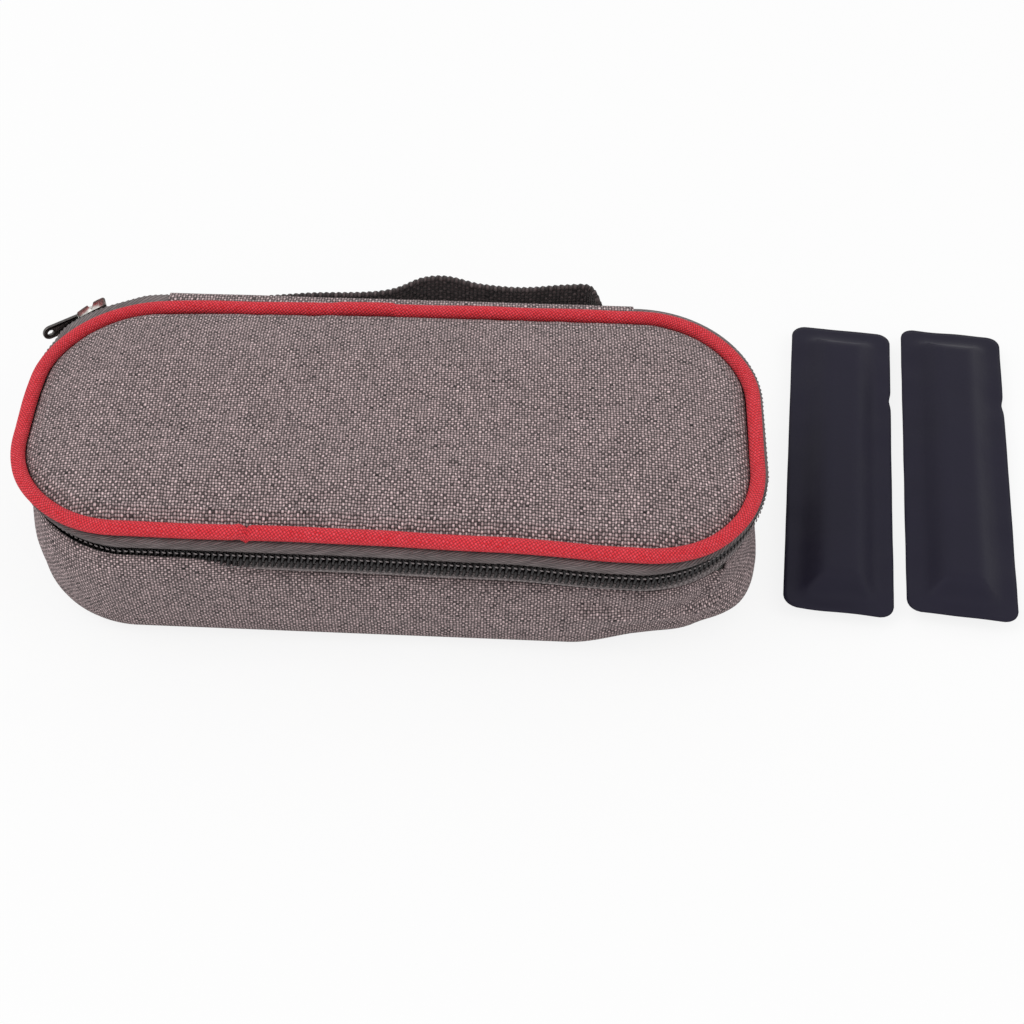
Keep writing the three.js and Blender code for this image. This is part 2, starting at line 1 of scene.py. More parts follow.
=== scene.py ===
# The looks of a soft cooling case with a zipped lid, and of its two gel packs. Everything is in
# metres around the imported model: X runs right, Y back and Z up, with the ground at zero.
from math import atan2, cos, exp, hypot, pi, radians, sin

import bmesh
import bpy
from mathutils import Matrix, Vector, noise


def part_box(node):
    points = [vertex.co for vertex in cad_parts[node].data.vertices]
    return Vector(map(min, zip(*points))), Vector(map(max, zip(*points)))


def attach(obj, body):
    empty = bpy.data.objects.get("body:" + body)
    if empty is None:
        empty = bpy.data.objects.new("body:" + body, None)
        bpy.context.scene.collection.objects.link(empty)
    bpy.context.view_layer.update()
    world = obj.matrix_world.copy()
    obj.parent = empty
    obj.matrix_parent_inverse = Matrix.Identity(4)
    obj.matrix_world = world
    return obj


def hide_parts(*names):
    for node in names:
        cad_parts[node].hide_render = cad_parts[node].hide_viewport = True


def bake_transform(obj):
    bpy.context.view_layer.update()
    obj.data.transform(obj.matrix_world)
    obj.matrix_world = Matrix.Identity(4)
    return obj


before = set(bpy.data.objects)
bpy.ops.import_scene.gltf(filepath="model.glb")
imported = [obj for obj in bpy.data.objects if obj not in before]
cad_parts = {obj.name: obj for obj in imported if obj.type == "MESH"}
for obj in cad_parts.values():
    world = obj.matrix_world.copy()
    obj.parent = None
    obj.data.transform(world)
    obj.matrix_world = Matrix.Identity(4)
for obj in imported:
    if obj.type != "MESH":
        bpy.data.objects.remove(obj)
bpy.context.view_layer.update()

# Viewpoint: a lens a little right of the case's middle looks down on it. The lens, its height
# and its roll come from the ring that the red piping makes in the picture.
picture_side = 1024
focal_pixels = 1840
axis_pixel = (394.5, 469.4)
eye_distance = 0.5
eye_elevation = radians(47.8)
eye_azimuth = radians(4.6)
eye_roll = radians(1.4)
eye_target = Vector((0.0011, -0.0007, 0.022))

eye_level = cos(eye_elevation)
eye_back = Vector((sin(eye_azimuth) * eye_level, -cos(eye_azimuth) * eye_level, sin(eye_elevation)))
lens = bpy.data.cameras.new("viewpoint")
lens.sensor_width = 36
lens.lens = lens.sensor_width * focal_pixels / picture_side
lens.shift_x = (picture_side / 2 - axis_pixel[0]) / picture_side
lens.shift_y = (axis_pixel[1] - picture_side / 2) / picture_side
lens.clip_start = 0.01
viewpoint = bpy.data.objects.new("viewpoint", lens)
turned = (-eye_back).to_track_quat("-Z", "Y").to_matrix().to_4x4() @ Matrix.Rotation(-eye_roll, 4, "Z")
viewpoint.matrix_world = Matrix.Translation(eye_target + eye_distance * eye_back) @ turned
bpy.context.scene.collection.objects.link(viewpoint)
bpy.context.scene.camera = viewpoint
bpy.context.scene.view_settings.view_transform = "Standard"


# Studio: a white table top under a bright soft sky, with one large lamp over the left shoulder
# and a weak one from the right. What the lens sees of the table is lifted to white, and the
# object's shadow stays on it.
def link_or_set(tree, socket, value):
    if isinstance(value, bpy.types.NodeSocket):
        tree.links.new(value, socket)
    else:
        socket.default_value = value


def math_node(tree, operation, *values):
    node = tree.nodes.new("ShaderNodeMath")
    node.operation = operation
    for socket, value in zip(node.inputs, values):
        link_or_set(tree, socket, value)
    return node.outputs[0]


def seen_directly(tree):
    path = tree.nodes.new("ShaderNodeLightPath")
    seen = math_node(tree, "MAXIMUM", path.outputs["Is Camera Ray"], path.outputs["Is Glossy Ray"])
    return math_node(tree, "MAXIMUM", seen, path.outputs["Is Transmission Ray"])


def mesh_piece(bm, name, material):
    mesh = bpy.data.meshes.new(name)
    bm.to_mesh(mesh)
    bm.free()
    mesh.shade_smooth()
    mesh.materials.append(material)
    piece = bpy.data.objects.new(name, mesh)
    bpy.context.scene.collection.objects.link(piece)
    return piece


sky_strength = 0.72
table_half = 12
table_white_share = 0.85
table_colour = (0.9, 0.9, 0.9, 1)
key_lamp = {"place": (-0.9, -0.3, 1.6), "side": 1.1, "watts": 9.5}
fill_lamp = {"place": (1.1, -0.3, 1.2), "side": 0.9, "watts": 3}

sky = bpy.data.worlds.new("sky")
sky.use_nodes = True
background = sky.node_tree.nodes["Background"]
background.inputs["Color"].default_value = (1, 1, 1, 1)
lift = math_node(sky.node_tree, "MULTIPLY", seen_directly(sky.node_tree), 1 - sky_strength)
link_or_set(sky.node_tree, background.inputs["Strength"], math_node(sky.node_tree, "ADD", lift, sky_strength))
bpy.context.scene.world = sky

table_paint = bpy.data.materials.new("table_paint")
table_paint.use_nodes = True
tree = table_paint.node_tree
paint = tree.nodes["Principled BSDF"]
paint.inputs["Base Color"].default_value = table_colour
paint.inputs["Roughness"].default_value = 1
paint.inputs["Specular IOR Level"].default_value = 0
glow = tree.nodes.new("ShaderNodeEmission")
blend = tree.nodes.new("ShaderNodeMixShader")
link_or_set(tree, blend.inputs[0], math_node(tree, "MULTIPLY", seen_directly(tree), table_white_share))
tree.links.new(paint.outputs[0], blend.inputs[1])
tree.links.new(glow.outputs[0], blend.inputs[2])
tree.links.new(blend.outputs[0], tree.nodes["Material Output"].inputs["Surface"])
bm = bmesh.new()
bmesh.ops.create_grid(bm, x_segments=1, y_segments=1, size=table_half)
mesh_piece(bm, "table_top", table_paint)

for name, lamp in (("key_lamp", key_lamp), ("fill_lamp", fill_lamp)):
    light = bpy.data.lights.new(name, "AREA")
    light.size = lamp["side"]
    light.energy = lamp["watts"]
    holder = bpy.data.objects.new(name, light)
    holder.location = lamp["place"]
    holder.rotation_euler = (-Vector(lamp["place"])).to_track_quat("-Z", "Y").to_euler()
    bpy.context.scene.collection.objects.link(holder)


# Side wall: one band of heathered woven cloth round the case. Its foot is rounded where it is
# sewn to the bottom panel, its middle swells, and its top edge is folded in over the tape.
corner_radius = 0.036
wall_inset = 0.004
foot_radius = 0.009
fabric = 0.0012
seat = 0.0003
tape_low, tape_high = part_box("upper_zipper_tape")
half_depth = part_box("hinge_cloth_upper")[1].y
tape_inset = half_depth - tape_high.y
half_length = tape_high.x + tape_inset
run_x = half_length - corner_radius
run_y = half_depth - corner_radius
corner_run = corner_radius * pi / 2
perimeter = 4 * (run_x + run_y + corner_run)
still = Vector((0, 0, 0))
upright = Vector((0, 0, 1))
outline_legs = (
    (still, Vector((-1, 0, 0)), run_x, 0),
    (Vector((-run_x, run_y, 0)), still, corner_run, pi / 2),
    (still, Vector((0, -1, 0)), 2 * run_y, 0),
    (Vector((-run_x, -run_y, 0)), still, corner_run, pi / 2),
    (still, Vector((1, 0, 0)), 2 * run_x, 0),
    (Vector((run_x, -run_y, 0)), still, corner_run, pi / 2),
    (still, Vector((0, 1, 0)), 2 * run_y, 0),
    (Vector((run_x, run_y, 0)), still, corner_run, pi / 2),
    (still, Vector((-1, 0, 0)), run_x, 0),
)


# Where a point lies on the outline, as the distance from the back's middle and the inset
def run_and_inset(point):
    past_x, past_y = abs(point.x) - run_x, abs(point.y) - run_y
    if past_x > 0 and past_y > 0:
        inset = corner_radius - hypot(past_x, past_y)
        turned = atan2(past_x, past_y) if (point.x < 0) == (point.y > 0) else atan2(past_y, past_x)
        corner = (0 if point.y > 0 else 1) if point.x < 0 else (2 if point.y < 0 else 3)
        starts = (run_x, run_x + corner_run + 2 * run_y)
        starts += (3 * run_x + 2 * corner_run + 2 * run_y, 3 * (run_x + corner_run) + 4 * run_y)
        return starts[corner] + corner_radius * turned, inset
    if half_depth - abs(point.y) < half_length - abs(point.x):
        inset = half_depth - abs(point.y)
        if point.y < 0:
            return 2 * (run_x + corner_run + run_y) + point.x, inset
        return -point.x % perimeter, inset
    inset = half_length - abs(point.x)
    if point.x < 0:
        return run_x + corner_run + run_y - point.y, inset
    return 3 * (run_x + corner_run + run_y) + point.y, inset


# Carries a section along legs of (centre, axis, drift, turn, steps), leaving faces behind it.
def carry(bm, section, legs):
    for centre, axis, drift, turn, steps in legs:
        spun = bmesh.ops.spin(
            bm,
            geom=section,
            cent=centre,
            axis=axis,
            dvec=drift / steps,
            angle=turn,
            steps=steps,
            use_duplicate=False,
        )
        section = [part for part in spun["geom_last"] if not isinstance(part, bmesh.types.BMFace)]


# The move that takes a thing from the back's middle to a distance along the outline
def carried(distance):
    place = Matrix.Identity(4)
    for centre, heading, length, turn in outline_legs:
        share = min(max(distance / length, 0), 1)
        rotation = Matrix.Rotation(turn * share, 4, "Z")
        swing = Matrix.Translation(centre) @ rotation @ Matrix.Translation(-centre)
        place = Matrix.Translation(heading * length * share) @ swing @ place
        distance -= length
    return place


# A section of (inset, height) points, standing across the outline at a distance from the middle
def stand_section(bm, points, start, closed):
    place = carried(start)
    verts = [bm.verts.new(place @ Vector((0, half_depth - inset, z))) for inset, z in points]
    following = verts[1:] + (verts[:1] if closed else [])
    return verts + [bm.edges.new(pair) for pair in zip(verts, following)]


def sew_round(bm, section, start, end, step):
    walked = 0
    legs = []
    for centre, heading, length, turn in outline_legs:
        low, high = max(start, walked), min(end, walked + length)
        if high - low > fabric / 100:
            share = (high - low) / length
            steps = max(1, round((high - low) / step))
            legs.append((centre, upright, heading * (high - low), turn * share, steps))
        walked += length
    carry(bm, section, legs)


def close_up(bm):
    bmesh.ops.remove_doubles(bm, verts=bm.verts, dist=fabric / 200)
    open_edges = [edge for edge in bm.edges if edge.is_boundary]
    if open_edges:
        bmesh.ops.holes_fill(bm, edges=open_edges, sides=0)
    bmesh.ops.recalc_face_normals(bm, faces=bm.faces)


# A smooth value between the pairs of a table
def between(value, table):
    for (low, first), (high, second) in zip(table, table[1:]):
        if value <= high:
            share = min(max((value - low) / (high - low), 0), 1)
            return first + (second - first) * share * share * (3 - 2 * share)
    return table[-1][1]


# How the soft case has settled. Each table gives how far that side or corner stands out, by
# height: the base has drawn in at its left, the zipper tucks in under the lid at both front
# corners, and it bulges at the back. The lid lies a little to the front of the base, hangs lower
# at its front right corner and has drawn in at its back left one. Round the slider nothing moves.
piping_low, piping_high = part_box("lid_piping")
lid_forward = -(piping_low.y + piping_high.y) / 2
band_top = tape_high.z
front_stand = ((0, 0.0012), (0.024, 0.001), (0.0355, 0), (band_top, 0))
back_stand = ((0.024, 0), (0.0365, 0.0012), (0.0395, 0.0012), (band_top, 0))
left_stand = (
    (0.004, -0.0014), (0.02, -0.0036), (0.03, -0.0034), (0.0355, -0.0022), (0.0395, -0.0024), (band_top, 0)
)
right_stand = (
    (0, 0.0012), (0.008, 0.0014), (0.02, -0.0012), (0.028, -0.0012),
    (0.0365, -0.0014), (0.0395, -0.0016), (band_top, 0),
)
front_left_stand = (
    (0, -0.0006), (0.02, -0.0006), (0.03, -0.0022), (0.036, -0.0036), (0.04, -0.0016), (band_top, 0)
)
front_right_stand = (
    (0, 0.0014), (0.008, 0.0014), (0.02, -0.0012), (0.029, -0.0006),
    (0.034, -0.003), (0.039, -0.0025), (band_top, 0),
)
back_right_stand = ((0.03, 0), (0.0375, 0.0012), (band_top, 0))
lean_in = ((0.0388, 0), (band_top, 1))
corner_pull = 0.005
corner_pull_side = ((0.049, 0), (0.073, 0.95), (0.083, 0.78), (0.094, 0))
corner_pull_height = ((0.008, 1), (0.024, 0))
corner_pull_facing = ((0, 0), (0.5, 1))
lid_twist = ((-0.08, 0.0012), (-0.012, 0.0011), (0.03, 0.0003), (0.06, -0.002), (0.085, -0.0034))
lid_twist_depth = ((-0.04, 1), (0.02, 0))
lid_twist_height = ((0.014, 0), (0.036, 1))
lid_draw_height = ((0.0396, 0), (0.0422, 1))
lid_draw_front = ((-0.1, 0.0014), (-0.08, 0.0022), (-0.045, 0.0008), (0, 0))
lid_draw_side = ((-0.09, 0.0013), (-0.06, 0))
lid_draw_depth = ((0, 0), (0.03, 1))
slider_turn = radians(36)
slider_heading = Vector((-sin(slider_turn), cos(slider_turn)))
slider_room = ((cos(radians(26)), 1), (cos(radians(9)), 0))
slider_height = ((0.029, 0), (0.0315, 1))
middle_room = ((0, 0), (0.012, 1))


def settle(bm, forward=None):
    for vert in bm.verts:
        x, y, z = vert.co
        outward = Vector((x - min(max(x, -run_x), run_x), y - min(max(y, -run_y), run_y)))
        reach = outward.length
        if reach > 0:
            outward /= reach
        side, back = outward
        stand = max(back, 0) ** 2 * between(z, back_stand) + max(-back, 0) ** 2 * between(z, front_stand)
        stand += max(-side, 0) ** 2 * between(z, left_stand) + max(side, 0) ** 2 * between(z, right_stand)
        corner = 2 * abs(side * back)
        if back < 0:
            stand += corner * between(z, front_left_stand if side < 0 else front_right_stand)
        elif side > 0:
            stand += corner * between(z, back_right_stand)
        pull = corner_pull * between(x, corner_pull_side) * between(z, corner_pull_height)
        stand -= pull * between(-back, corner_pull_facing)
        held = between(z, slider_height) * (1 - between(outward.dot(slider_heading), slider_room))
        stand *= (1 - held) * between(reach, middle_room)
        leaned = between(z, lean_in) if forward is None else forward
        twist = between(x, lid_twist) * between(y, lid_twist_depth) * between(z, lid_twist_height)
        drawn = between(z, lid_draw_height) * between(y, lid_draw_depth)
        x += side * stand + drawn * between(x, lid_draw_side)
        y += back * stand - lid_forward * leaned - drawn * between(vert.co.x, lid_draw_front)
        vert.co = (x, y, z + twist * (1 - held))


# A UV map in metres: along the outline, and up the cloth
def up_the_cloth(point, inset):
    lean = inset - wall_inset
    return point.z + (lean if point.z > foot_radius else -lean)


def lay_round(bm, up=up_the_cloth):
    layer = bm.loops.layers.uv.new("cloth")
    for face in bm.faces:
        places = [run_and_inset(loop.vert.co) for loop in face.loops]
        runs = [run for run, inset in places]
        wraps = max(runs) - min(runs) > perimeter / 2
        for loop, (run, inset) in zip(face.loops, places):
            run += perimeter if wraps and run < perimeter / 2 else 0
            loop[layer].uv = (run, up(loop.vert.co, inset))


def lay_flat(bm):
    layer = bm.loops.layers.uv.new("cloth")
    for face in bm.faces:
        for loop in face.loops:
            loop[layer].uv = loop.vert.co.xy


# A piece whose section is carried round the outline, then given its UV map, settled and shaped
def hooped(
    name,
    section,
    material,
    closed=True,
    start=0,
    end=None,
    step=0.0018,
    forward=None,
    lay=lay_round,
    shape=None,
):
    bm = bmesh.new()
    sew_round(bm, stand_section(bm, section, start, closed), start, end or perimeter, step)
    close_up(bm)
    lay(bm)
    settle(bm, forward)
    if shape:
        shape(bm)
    return mesh_piece(bm, name, material)


def group_node(tree, group, **values):
    node = tree.nodes.new("ShaderNodeGroup")
    node.node_tree = group
    for name, value in values.items():
        link_or_set(tree, node.inputs[name.replace("_", " ")], value)
    return node


def new_group(name, inputs, outputs):
    group = bpy.data.node_groups.new(name, "ShaderNodeTree")
    for label, kind in inputs.items():
        group.interface.new_socket(label, in_out="INPUT", socket_type=kind)
    for label, kind in outputs.items():
        group.interface.new_socket(label, in_out="OUTPUT", socket_type=kind)
    return group, group.nodes.new("NodeGroupInput").outputs, group.nodes.new("NodeGroupOutput").inputs


def mixed(tree, share, first, second, blend_type="MIX"):
    node = tree.nodes.new("ShaderNodeMix")
    node.data_type = "RGBA"
    node.blend_type = blend_type
    for socket, value in zip((node.inputs[0], node.inputs[6], node.inputs[7]), (share, first, second)):
        link_or_set(tree, socket, value)
    return node.outputs[2]


def noise_node(tree, vector, scale, detail=2):
    node = tree.nodes.new("ShaderNodeTexNoise")
    link_or_set(tree, node.inputs["Vector"], vector)
    node.inputs["Scale"].default_value = scale
    node.inputs["Detail"].default_value = detail
    return node.outputs["Fac"]


# The weave of the grey cloth: threads that cross over and under, each with its own tone, and
# slubs along them
wander_scale = 420
slub_scale = 0.22
slub_weight = 1.5
crossing_weight = 0.6
tone_shift = -0.45


def plain_weave():
    group, given, result = new_group(
        "plain_weave",
        {"Place": "NodeSocketVector", "Thread": "NodeSocketFloat", "Wander": "NodeSocketFloat"},
        {"Height": "NodeSocketFloat", "Tone": "NodeSocketFloat", "Over": "NodeSocketFloat"},
    )
    scatter = group.nodes.new("ShaderNodeTexNoise")
    group.links.new(given["Place"], scatter.inputs["Vector"])
    scatter.inputs["Scale"].default_value = wander_scale
    centred = group.nodes.new("ShaderNodeVectorMath")
    centred.operation = "SUBTRACT"
    group.links.new(scatter.outputs["Color"], centred.inputs[0])
    centred.inputs[1].default_value = (0.5, 0.5, 0.5)
    scaled = group.nodes.new("ShaderNodeVectorMath")
    scaled.operation = "SCALE"
    group.links.new(centred.outputs[0], scaled.inputs[0])
    group.links.new(given["Wander"], scaled.inputs["Scale"])
    moved = group.nodes.new("ShaderNodeVectorMath")
    moved.operation = "ADD"
    group.links.new(given["Place"], moved.inputs[0])
    group.links.new(scaled.outputs[0], moved.inputs[1])
    split = group.nodes.new("ShaderNodeSeparateXYZ")
    group.links.new(moved.outputs[0], split.inputs[0])
    across = math_node(group, "DIVIDE", split.outputs[0], given["Thread"])
    along = math_node(group, "DIVIDE", split.outputs[1], given["Thread"])
    column, row = math_node(group, "FLOOR", across), math_node(group, "FLOOR", along)
    warp_swell = math_node(group, "SINE", math_node(group, "MULTIPLY", math_node(group, "FRACT", across), pi))
    weft_swell = math_node(group, "SINE", math_node(group, "MULTIPLY", math_node(group, "FRACT", along), pi))
    halves = math_node(group, "MULTIPLY", math_node(group, "ADD", column, row), 0.5)
    over = math_node(group, "MULTIPLY", math_node(group, "FRACT", halves), 2)
    under = math_node(group, "SUBTRACT", 1, over)
    warp_arch = math_node(group, "MULTIPLY_ADD", weft_swell, 0.5, 0.5)
    weft_arch = math_node(group, "MULTIPLY_ADD", warp_swell, 0.5, 0.5)
    warp_top = math_node(group, "MULTIPLY", math_node(group, "SQRT", warp_swell), warp_arch)
    weft_top = math_node(group, "MULTIPLY", math_node(group, "SQRT", weft_swell), weft_arch)
    height = math_node(group, "MULTIPLY_ADD", warp_top, over, math_node(group, "MULTIPLY", weft_top, under))
    slubs = []
    weft_key = (across, math_node(group, "MULTIPLY", row, 9.7))
    warp_key = (math_node(group, "MULTIPLY", column, 7.3), along)
    for key in (weft_key, warp_key):
        slub_place = group.nodes.new("ShaderNodeCombineXYZ")
        group.links.new(key[0], slub_place.inputs[0])
        group.links.new(key[1], slub_place.inputs[1])
        slubs.append(noise_node(group, slub_place.outputs[0], slub_scale, 2))
    slub = math_node(group, "MULTIPLY_ADD", slubs[0], under, math_node(group, "MULTIPLY", slubs[1], over))
    cross_tone = group.nodes.new("ShaderNodeTexWhiteNoise")
    cross_tone.noise_dimensions = "2D"
    cross_key = group.nodes.new("ShaderNodeCombineXYZ")
    group.links.new(column, cross_key.inputs[0])
    group.links.new(row, cross_key.inputs[1])
    group.links.new(cross_key.outputs[0], cross_tone.inputs["Vector"])
    group.links.new(height, result["Height"])
    mixed_tone = math_node(group, "MULTIPLY_ADD", cross_tone.outputs["Value"], crossing_weight, tone_shift)
    mixed_tone = math_node(group, "MULTIPLY_ADD", slub, slub_weight, mixed_tone)
    group.links.new(mixed_tone, result["Tone"])
    group.links.new(over, result["Over"])
    return group


weave = plain_weave()


def new_material(name, roughness, specular=0.25, sheen=0.0):
    material = bpy.data.materials.new(name)
    material.use_nodes = True
    shader = material.node_tree.nodes["Principled BSDF"]
    shader.inputs["Roughness"].default_value = roughness
    shader.inputs["Specular IOR Level"].default_value = specular
    shader.inputs["Sheen Weight"].default_value = sheen
    shader.inputs["Sheen Roughness"].default_value = 0.5
    return material, material.node_tree, shader


def cloth_place(tree, angle=0):
    map_node = tree.nodes.new("ShaderNodeUVMap")
    map_node.uv_map = "cloth"
    turn = tree.nodes.new("ShaderNodeMapping")
    tree.links.new(map_node.outputs[0], turn.inputs["Vector"])
    turn.inputs["Rotation"].default_value = (0, 0, angle)
    return turn.outputs[0]


def relief(tree, shader, height, depth):
    bump = tree.nodes.new("ShaderNodeBump")
    bump.inputs["Distance"].default_value = depth
    tree.links.new(height, bump.inputs["Height"])
    tree.links.new(bump.outputs[0], shader.inputs["Normal"])


# A woven cloth. The contrast is that of warp and weft, and the gap parameter sets how dark the painted shade
# between the threads is.
def cloth_material(name, dark, pale, thread, wander, bump, gap_shade, contrast, angle=0, blotch=0.12, sheen=0.12):
    material, tree, shader = new_material(name, roughness=0.92, sheen=sheen)
    place = cloth_place(tree, angle)
    threads = group_node(tree, weave, Place=place, Thread=thread, Wander=wander)
    tone = math_node(tree, "MULTIPLY", threads.outputs["Tone"], 0.9 - contrast)
    tone = math_node(tree, "MULTIPLY_ADD", threads.outputs["Over"], contrast, tone)
    # Painted shade: the colour darkens where the threads' height falls, in the gaps between them.
    shade = math_node(tree, "MULTIPLY_ADD", threads.outputs["Height"], 1.25 * gap_shade, 1.04 - 1.16 * gap_shade)
    shade = math_node(tree, "MAXIMUM", shade, 0.04)
    shaded = mixed(tree, 1.0, mixed(tree, tone, dark, pale), shade, "MULTIPLY")
    patches = math_node(tree, "MULTIPLY_ADD", noise_node(tree, place, 60, 4), 2 * blotch, 1 - blotch)
    tree.links.new(mixed(tree, 1.0, shaded, patches, "MULTIPLY"), shader.inputs["Base Color"])
    relief(tree, shader, threads.outputs["Height"], bump)
    return material


grey_cloth = cloth_material(
    "grey_cloth",
    dark=(0.02, 0.012, 0.013, 1),
    pale=(0.9, 0.68, 0.685, 1),
    thread=0.00079,
    wander=0.001,
    bump=0.00045,
    contrast=0.38,
    gap_shade=1.25,
)

wall_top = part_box("side_wall")[1].z
wall_belly = 0.0013
seam_angle = pi / 4
foot_steps = 5
side_steps = 12
hem_fold = 0.0005


def foot_arc(depth, first_angle, last_angle):
    points = []
    for step in range(foot_steps + 1):
        angle = first_angle + (last_angle - first_angle) * step / foot_steps
        bend = foot_radius - depth
        points.append((wall_inset + foot_radius - bend * sin(angle), foot_radius - bend * cos(angle)))
    return points


def side_rise(depth, top):
    points = []
    for step in range(1, side_steps + 1):
        z = foot_radius + (top - foot_radius) * step / side_steps
        rise = (z - foot_radius) / (wall_top - foot_radius)
        points.append((wall_inset - 4 * wall_belly * rise * (1 - rise) + depth, z))
    return points


wall_outside = foot_arc(0, seam_angle, pi / 2) + side_rise(0, wall_top - hem_fold)
wall_inside = foot_arc(fabric, seam_angle, pi / 2) + side_rise(fabric, wall_top - hem_fold)
wall_hem = [(wall_inset + fabric * 0.25, wall_top - hem_fold * 0.3), (wall_inset + fabric * 0.5, wall_top)]
wall_hem.append((wall_inset + fabric * 0.8, wall_top - hem_fold * 0.3))
wall = hooped("wall_cloth", wall_outside + wall_hem + wall_inside[::-1], grey_cloth)

# Soft dents in the wall, and two folds at its front right: a short one that runs down from the
# zipper, and a long shallow one above the foot with a hollow over it. At the front left the top
# edge has worked up over the zipper.
dent_scale = 32
dent_size = 0.0007
dent_height = ((0.004, 0), (0.013, 1), (0.024, 1), (0.0285, 0.2))
crease_line = (Vector((0.0872, 0.0285)), Vector((0.0838, 0.0205)))
crease_size = 0.0018
crease_width = 0.0013
ridge_line = (Vector((0.052, 0.0185)), Vector((0.0855, 0.0135)))
ridge_size = 0.0012
ridge_width = 0.002
hollow_rise = 0.0045
hollow_width = 0.003
hem_rise = 0.0083
hem_stand = 0.0037
hem_rise_height = ((0.009, 0), (0.0295, 1))
hem_rise_side = ((-0.098, 0), (-0.082, 1), (-0.05, 0.9), (-0.02, 0))
hem_rise_depth = ((0, 0), (0.02, 1))


def near_line(point, line, width):
    along = line[1] - line[0]
    share = min(max((point - line[0]).dot(along) / along.length_squared, 0), 1)
    return exp(-(((point - line[0] - along * share).length / width) ** 2))


rises = [0] * len(wall.data.vertices)
for vert in wall.data.vertices:
    x, y, z = vert.co
    outward = Vector((x - min(max(x, -run_x), run_x), y - min(max(y, -run_y), run_y), 0)).normalized()
    stand = between(z, dent_height) * dent_size * noise.noise(Vector((x, y, z * 2.5)) * dent_scale)
    if y < 0:
        place = vert.co.xz
        hollow_place = place - Vector((0, hollow_rise))
        rise = between(z, hem_rise_height) * between(x, hem_rise_side) * between(-y, hem_rise_depth)
        rises[vert.index] = hem_rise * rise
        stand += crease_size * near_line(place, crease_line, crease_width)
        stand += ridge_size * near_line(place, ridge_line, ridge_width)
        stand += hem_stand * rise - ridge_size * near_line(hollow_place, ridge_line, hollow_width)
    vert.co += outward * stand + upright * rises[vert.index]
for loop, place in zip(wall.data.loops, wall.data.uv_layers["cloth"].data):
    place.uv.y += rises[loop.vertex_index]
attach(wall, "case_base")
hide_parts("side_wall")

# Bottom cloth: the panel that the case stands on, of the same cloth, sewn to the side wall on
# the round of the foot.
bottom_section = foot_arc(0, 0, seam_angle) + foot_arc(fabric, 0, seam_angle)[::-1]
bottom = hooped("bottom_cloth", bottom_section, grey_cloth, closed=False, lay=lay_flat)
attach(bottom, "case_base")
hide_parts("bottom_panel")

# Foam tray: white closed-cell foam behind the wall and on the floor. It keeps the cold in, and
# it steps in where the lower zipper tape is sewn behind the wall.
def foam_material():
    material, tree, shader = new_material("closed_cell_foam", 0.85, sheen=0.0)
    place = tree.nodes.new("ShaderNodeTexCoord").outputs["Object"]
    cells = tree.nodes.new("ShaderNodeTexVoronoi")
    tree.links.new(place, cells.inputs["Vector"])
    cells.inputs["Scale"].default_value = 1400
    tone = math_node(tree, "MULTIPLY_ADD", noise_node(tree, place, 90, 3), 0.5, 0.25)
    tree.links.new(mixed(tree, tone, (0.74, 0.74, 0.7, 1), (0.83, 0.83, 0.8, 1)), shader.inputs["Base Color"])
    relief(tree, shader, cells.outputs["Distance"], 0.0002)
    return material


foam_white = foam_material()
foam = 0.004
foil = 0.0006
tape = 0.0006
foam_depth = fabric + seat
foil_depth = foam_depth + foam + seat
lining_depth = foil_depth + foil
tape_back = tape_inset + tape
sewn_tape = wall_inset + foam_depth
rim_inset = sewn_tape + tape + seat
lower_tape_low, lower_tape_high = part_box("lower_zipper_tape")
rim_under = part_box("base_foam")[1].z + seat
rim_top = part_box("base_lining")[1].z


def tray_section(depth, top):
    return foot_arc(depth, 0, pi / 2) + side_rise(depth, top)


foam_outside = tray_section(foam_depth, lower_tape_low.z - seat)
foam_outside += [(rim_inset, lower_tape_low.z - seat), (rim_inset, rim_under - seat)]
foam_section = foam_outside + tray_section(foam_depth + foam, rim_under - seat)[::-1]
foam_tray = hooped("foam_tray", foam_section, foam_white, closed=False, step=0.003)
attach(foam_tray, "case_base")
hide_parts("base_foam")


# Foil lining: silver metallised film, laid over the foam and turned out over its rim, with the
# small creases that such film takes when it is sewn in
def foil_material():
    material, tree, shader = new_material("metallised_film", 0.3)
    place = tree.nodes.new("ShaderNodeTexCoord").outputs["Object"]
    creases = tree.nodes.new("ShaderNodeTexVoronoi")
    creases.feature = "DISTANCE_TO_EDGE"
    tree.links.new(place, creases.inputs["Vector"])
    creases.inputs["Scale"].default_value = 330
    soft = math_node(tree, "MINIMUM", math_node(tree, "MULTIPLY", creases.outputs["Distance"], 5), 1)
    cells = math_node(tree, "MULTIPLY", soft, 0.07)
    crumple = math_node(tree, "MULTIPLY_ADD", noise_node(tree, place, 70, 8), 2.4, cells)
    relief(tree, shader, crumple, 0.0006)
    rough = math_node(tree, "MULTIPLY_ADD", noise_node(tree, place, 240, 3), 0.24, 0.2)
    tree.links.new(rough, shader.inputs["Roughness"])
    tone = mixed(tree, noise_node(tree, place, 120, 4), (0.47, 0.48, 0.5, 1), (0.6, 0.61, 0.63, 1))
    tree.links.new(tone, shader.inputs["Base Color"])
    shader.inputs["Metallic"].default_value = 0.85
    return material


silver_foil = foil_material()
foil_crease = 0.0002


def crumpled(bm):
    for vert in bm.verts:
        vert.co.z += foil_crease * noise.noise(vert.co * 140)
        vert.co.x += foil_crease * noise.noise(vert.co * 120 + upright)


foil_section = tray_section(foil_depth, rim_under) + [(rim_inset, rim_under), (rim_inset, rim_top)]
foil_section += tray_section(lining_depth, rim_top)[::-1]
foil_lining = hooped("foil_lining", foil_section, silver_foil, closed=False, shape=crumpled)
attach(foil_lining, "case_base")
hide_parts("base_lining")


